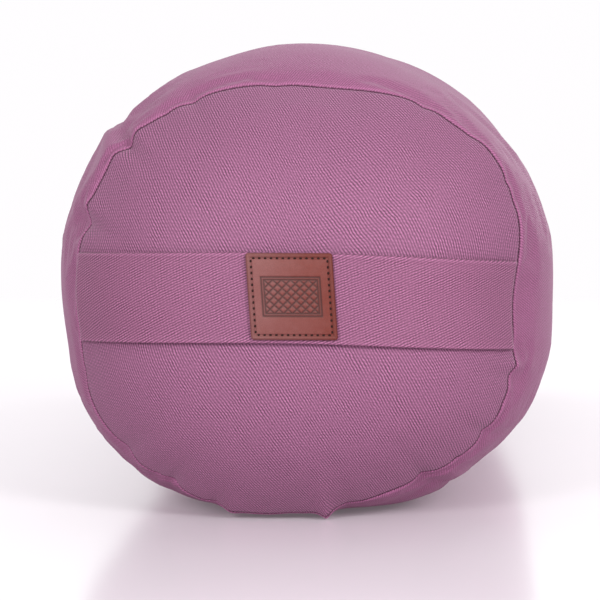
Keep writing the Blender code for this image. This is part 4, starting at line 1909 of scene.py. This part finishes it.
@dataclass(frozen=True)
class FloorFinish:
    """A pale, slightly glossy studio floor that fades into the white wall behind.

    It gives less light back than it shows, so that the bolster's lower half stays in shade.
    """

    colour: tuple[float, float, float] = (0.97, 0.92, 0.97)
    bounced: tuple[float, float, float] = (0.60, 0.50, 0.58)
    roughness: float = 0.16
    gloss: float = 0.85
    glow: float = 0.09
    glow_colour: tuple[float, float, float] = (1.0, 0.97, 1.0)
    fade_from: float = 0.64
    fade_to: float = 1.02
    scuff_scale: float = 3.0
    scuff_levels: tuple[float, float, float, float] = (0.3, 0.7, 0.98, 1.02)

    def make(self) -> bpy.types.Material:
        """Builds the material.

        Returns:
            The material.
        """
        material, bench, shader = new_material("studio_floor")
        place = bench.add("TexCoord").outputs["Object"]
        shade = bench.levels(bench.noise(place, self.scuff_scale), *self.scuff_levels)
        tint = bench.add("HueSaturation", {"Color": (*self.colour, 1.0), "Value": shade}).outputs[0]
        bounce = bench.add("LightPath").outputs["Is Diffuse Ray"]
        bench.feed(shader.inputs["Base Color"], bench.mix(bounce, tint, (*self.bounced, 1.0)))
        far = bench.add("SeparateXYZ", {0: place}).outputs[1]
        bench.feed(shader.inputs["Alpha"], bench.levels(far, self.fade_from, self.fade_to, 1.0, 0.0))
        shader.inputs["Roughness"].default_value = self.roughness
        shader.inputs["Specular IOR Level"].default_value = self.gloss
        shader.inputs["Emission Color"].default_value = (*self.glow_colour, 1.0)
        shader.inputs["Emission Strength"].default_value = self.glow
        return material


@dataclass(frozen=True)
class SoftBox:
    """One soft rectangular light: where it stands, its width and height, and its power in watts."""

    name: str
    place: tuple[float, float, float]
    size: tuple[float, float]
    watts: float

    def make(self, aim: tuple[float, float, float]) -> None:
        """Adds the light.

        Args:
            aim: The place that it is turned towards.
        """
        data = bpy.data.lights.new(self.name, "AREA")
        data.shape = "RECTANGLE"
        data.size, data.size_y = self.size
        data.energy = self.watts
        light = bpy.data.objects.new(self.name, data)
        light.location = self.place
        toward = Vector(aim) - light.location
        light.rotation_euler = toward.to_track_quat("-Z", "Y").to_euler()
        bpy.context.scene.collection.objects.link(light)


@dataclass
class Studio:
    """The floor, the soft light and the camera at the photograph's angle."""

    form: BolsterForm
    distance: float = 1.30
    azimuth_deg: float = 3.0
    elevation_deg: float = 4.4
    lens_mm: float = 177.2
    sensor_mm: float = 36.0
    nearest: float = 0.05
    world_colour: tuple[float, float, float] = (1.0, 0.985, 1.0)
    world_strength: float = 0.34
    floor_front: float = 2.6
    floor_back: float = 1.05
    floor_half_width: float = 2.4
    floor_drop: float = 0.0002
    light_aim: tuple[float, float, float] = (0.0, -0.15, 0.10)
    lights: tuple[SoftBox, ...] = (
        SoftBox("left_front_box", (-0.80, -2.1, 0.80), (0.7, 0.7), 24.5),
        SoftBox("right_front_box", (1.10, -1.8, 0.90), (0.7, 0.7), 26.5),
        SoftBox("top_box", (0.1, 0.3, 1.6), (1.0, 1.0), 3.0),
        SoftBox("back_box", (0.0, 1.2, 1.3), (1.6, 0.8), 8.0),
        SoftBox("left_rim_box", (-1.1, 0.9, 0.5), (0.7, 0.9), 2.5),
        SoftBox("right_rim_box", (0.9, 1.2, 0.5), (0.7, 0.9), 6.0),
    )

    def aim(self) -> Vector:
        """The middle of the front seam, where the camera looks."""
        shift = self.form.centre_shift
        return Vector((shift[0], shift[1] - self.form.seam_y, self.form.axis_height))

    def make_camera(self) -> None:
        """Adds the camera and makes it the scene's own."""
        azimuth, elevation = math.radians(self.azimuth_deg), math.radians(self.elevation_deg)
        level = math.cos(elevation)
        back = Vector((math.sin(azimuth) * level, -math.cos(azimuth) * level, math.sin(elevation)))
        data = bpy.data.cameras.new("photo_camera")
        data.lens = self.lens_mm
        data.sensor_width = self.sensor_mm
        data.clip_start = self.nearest
        camera = bpy.data.objects.new("photo_camera", data)
        camera.location = self.aim() + back * self.distance
        camera.rotation_euler = (-back).to_track_quat("-Z", "Y").to_euler()
        bpy.context.scene.collection.objects.link(camera)
        bpy.context.scene.camera = camera

    def make_world(self) -> None:
        """Surrounds the scene with a white wall, which looks brighter than the light that it gives back."""
        world = bpy.data.worlds.new("white_surroundings")
        world.use_nodes = True
        bench = NodeBench(world.node_tree)
        path = bench.add("LightPath").outputs
        seen = bench.math("MAXIMUM", path["Is Camera Ray"], path["Is Glossy Ray"])
        background = world.node_tree.nodes["Background"]
        background.inputs[0].default_value = (*self.world_colour, 1.0)
        bench.feed(background.inputs[1], bench.levels(seen, 0.0, 1.0, self.world_strength, 1.0))
        bpy.context.scene.world = world

    def make_floor(self) -> None:
        """Lays the floor under the bolster and ends it a little behind."""
        skin = Skin.empty()
        x = np.linspace(-self.floor_half_width, self.floor_half_width, 3)
        y = np.linspace(-self.floor_front, self.floor_back, 3)
        across, along = np.meshgrid(x, y, indexing="ij")
        level = np.full_like(across, -self.floor_drop)
        skin.add_grid(np.stack([across, along, level], -1), np.stack([across, along], -1))
        floor = skin.make("studio_floor", (0.0, 0.0, 0.0))
        floor.data.materials.append(FloorFinish().make())

    def make(self) -> None:
        """Builds the whole studio."""
        self.make_camera()
        self.make_world()
        self.make_floor()
        for box in self.lights:
            box.make(self.light_aim)
        bpy.context.scene.view_settings.view_transform = "Standard"


FORM = BolsterForm()


@dataclass(frozen=True)
class Finishes:
    """Every finish on the bolster."""

    end: TwillFinish = TwillFinish(
        "twill_end",
        (0.253, 0.101, 0.183),
        Weave.BODY,
        edge_half=float(FORM.crown_arc(np.array(FORM.seam_radius))),
        round_edge=True,
        # Painted shade in the seam's fold round the end panel's rim.
        edge_highlight=0.0,
        edge_shade=0.60,
        shade_width=0.0009,
    )
    side: TwillFinish = TwillFinish(
        "twill_side",
        (0.288, 0.106, 0.202),
        Weave.BODY,
        lit_crest=1.48,
        furrow=0.68,
        gloss=0.14,
        sheen=0.02,
        edge_middle=FORM.half_length(),
        edge_half=FORM.half_length(),
        # Painted highlight on the rolled edge at each seam, and painted shade in the fold.
        edge_highlight=0.22,
        edge_shade=0.55,
        shade_width=0.0008,
    )
    strap: TwillFinish = TwillFinish(
        "twill_strap",
        (0.244, 0.094, 0.170),
        Weave.STRAP,
        wale_pitch=0.00106,
        # The default edge values paint a highlight along the strap's folded edges and shade just beside them.
        edge_half=CarryStrap.width / 2,
    )
    leather: LeatherFinish = LeatherFinish("leather_patch_hide", half_side=LeatherPatch.side / 2)
    # The seam thread is coloured far darker than the cloth: painted shade of the seam's fold on the stitches.
    shaded_seam_thread: ThreadFinish = ThreadFinish(
        "shaded_seam_thread",
        (0.15, 0.05, 0.10),
        (0.05, 0.015, 0.03),
        gloss=0.2,
    )
    patch_thread: ThreadFinish = ThreadFinish(
        "patch_thread",
        (0.030, 0.011, 0.010),
        (0.012, 0.004, 0.004),
        gloss=0.15,
    )


def dress(obj: bpy.types.Object, material: bpy.types.Material) -> None:
    """Gives a piece its only material."""
    obj.data.materials.clear()
    obj.data.materials.append(material)


def report(obj: bpy.types.Object) -> None:
    """Logs a finished piece with its face count."""
    log.info("%s: %d faces", obj.name, len(obj.data.polygons))


def main() -> None:
    """Builds every piece of the bolster and the studio round it."""
    logging.basicConfig(level=logging.INFO, format="%(message)s")
    form, finishes = FORM, Finishes()
    twill, wear = TwillWeave(), SoftWear()
    end_cloth = finishes.end.make(twill, wear)
    side_cloth = finishes.side.make(twill, wear)
    strap_cloth = finishes.strap.make(twill, wear)
    shaded_seam_thread = finishes.shaded_seam_thread.make(wear)
    patch_thread = finishes.patch_thread.make(wear)
    hide = finishes.leather.make(wear)

    cloth_run = ClothRun(form)
    relief = cloth_run.run()

    tube = StuffedTube(form, relief).make()
    dress(tube, side_cloth)
    report(tube)
    for end in End:
        panel = EndPanel(form, relief, end).make()
        dress(panel, end_cloth)
        report(panel)
        stitches = SeamStitching(form, end).make()
        dress(stitches, shaded_seam_thread)
        report(stitches)

    strap_part = CarryStrap(form)
    strap = strap_part.make()
    dress(strap, strap_cloth)
    report(strap)
    patch_part = LeatherPatch(strap_part)
    patch = patch_part.make()
    dress(patch, hide)
    report(patch)
    first, second = patch_part.stitch_lines()
    outward = np.tile([0.0, -1.0, 0.0], (len(first), 1))
    patch_row = Stitching("patch_stitches", patch_part.stitch_thickness)
    patch_stitches = patch_row.make(first, second, outward, form.centre_shift)
    dress(patch_stitches, patch_thread)
    report(patch_stitches)

    Studio(form).make()


if __name__ == "__main__":
    main()
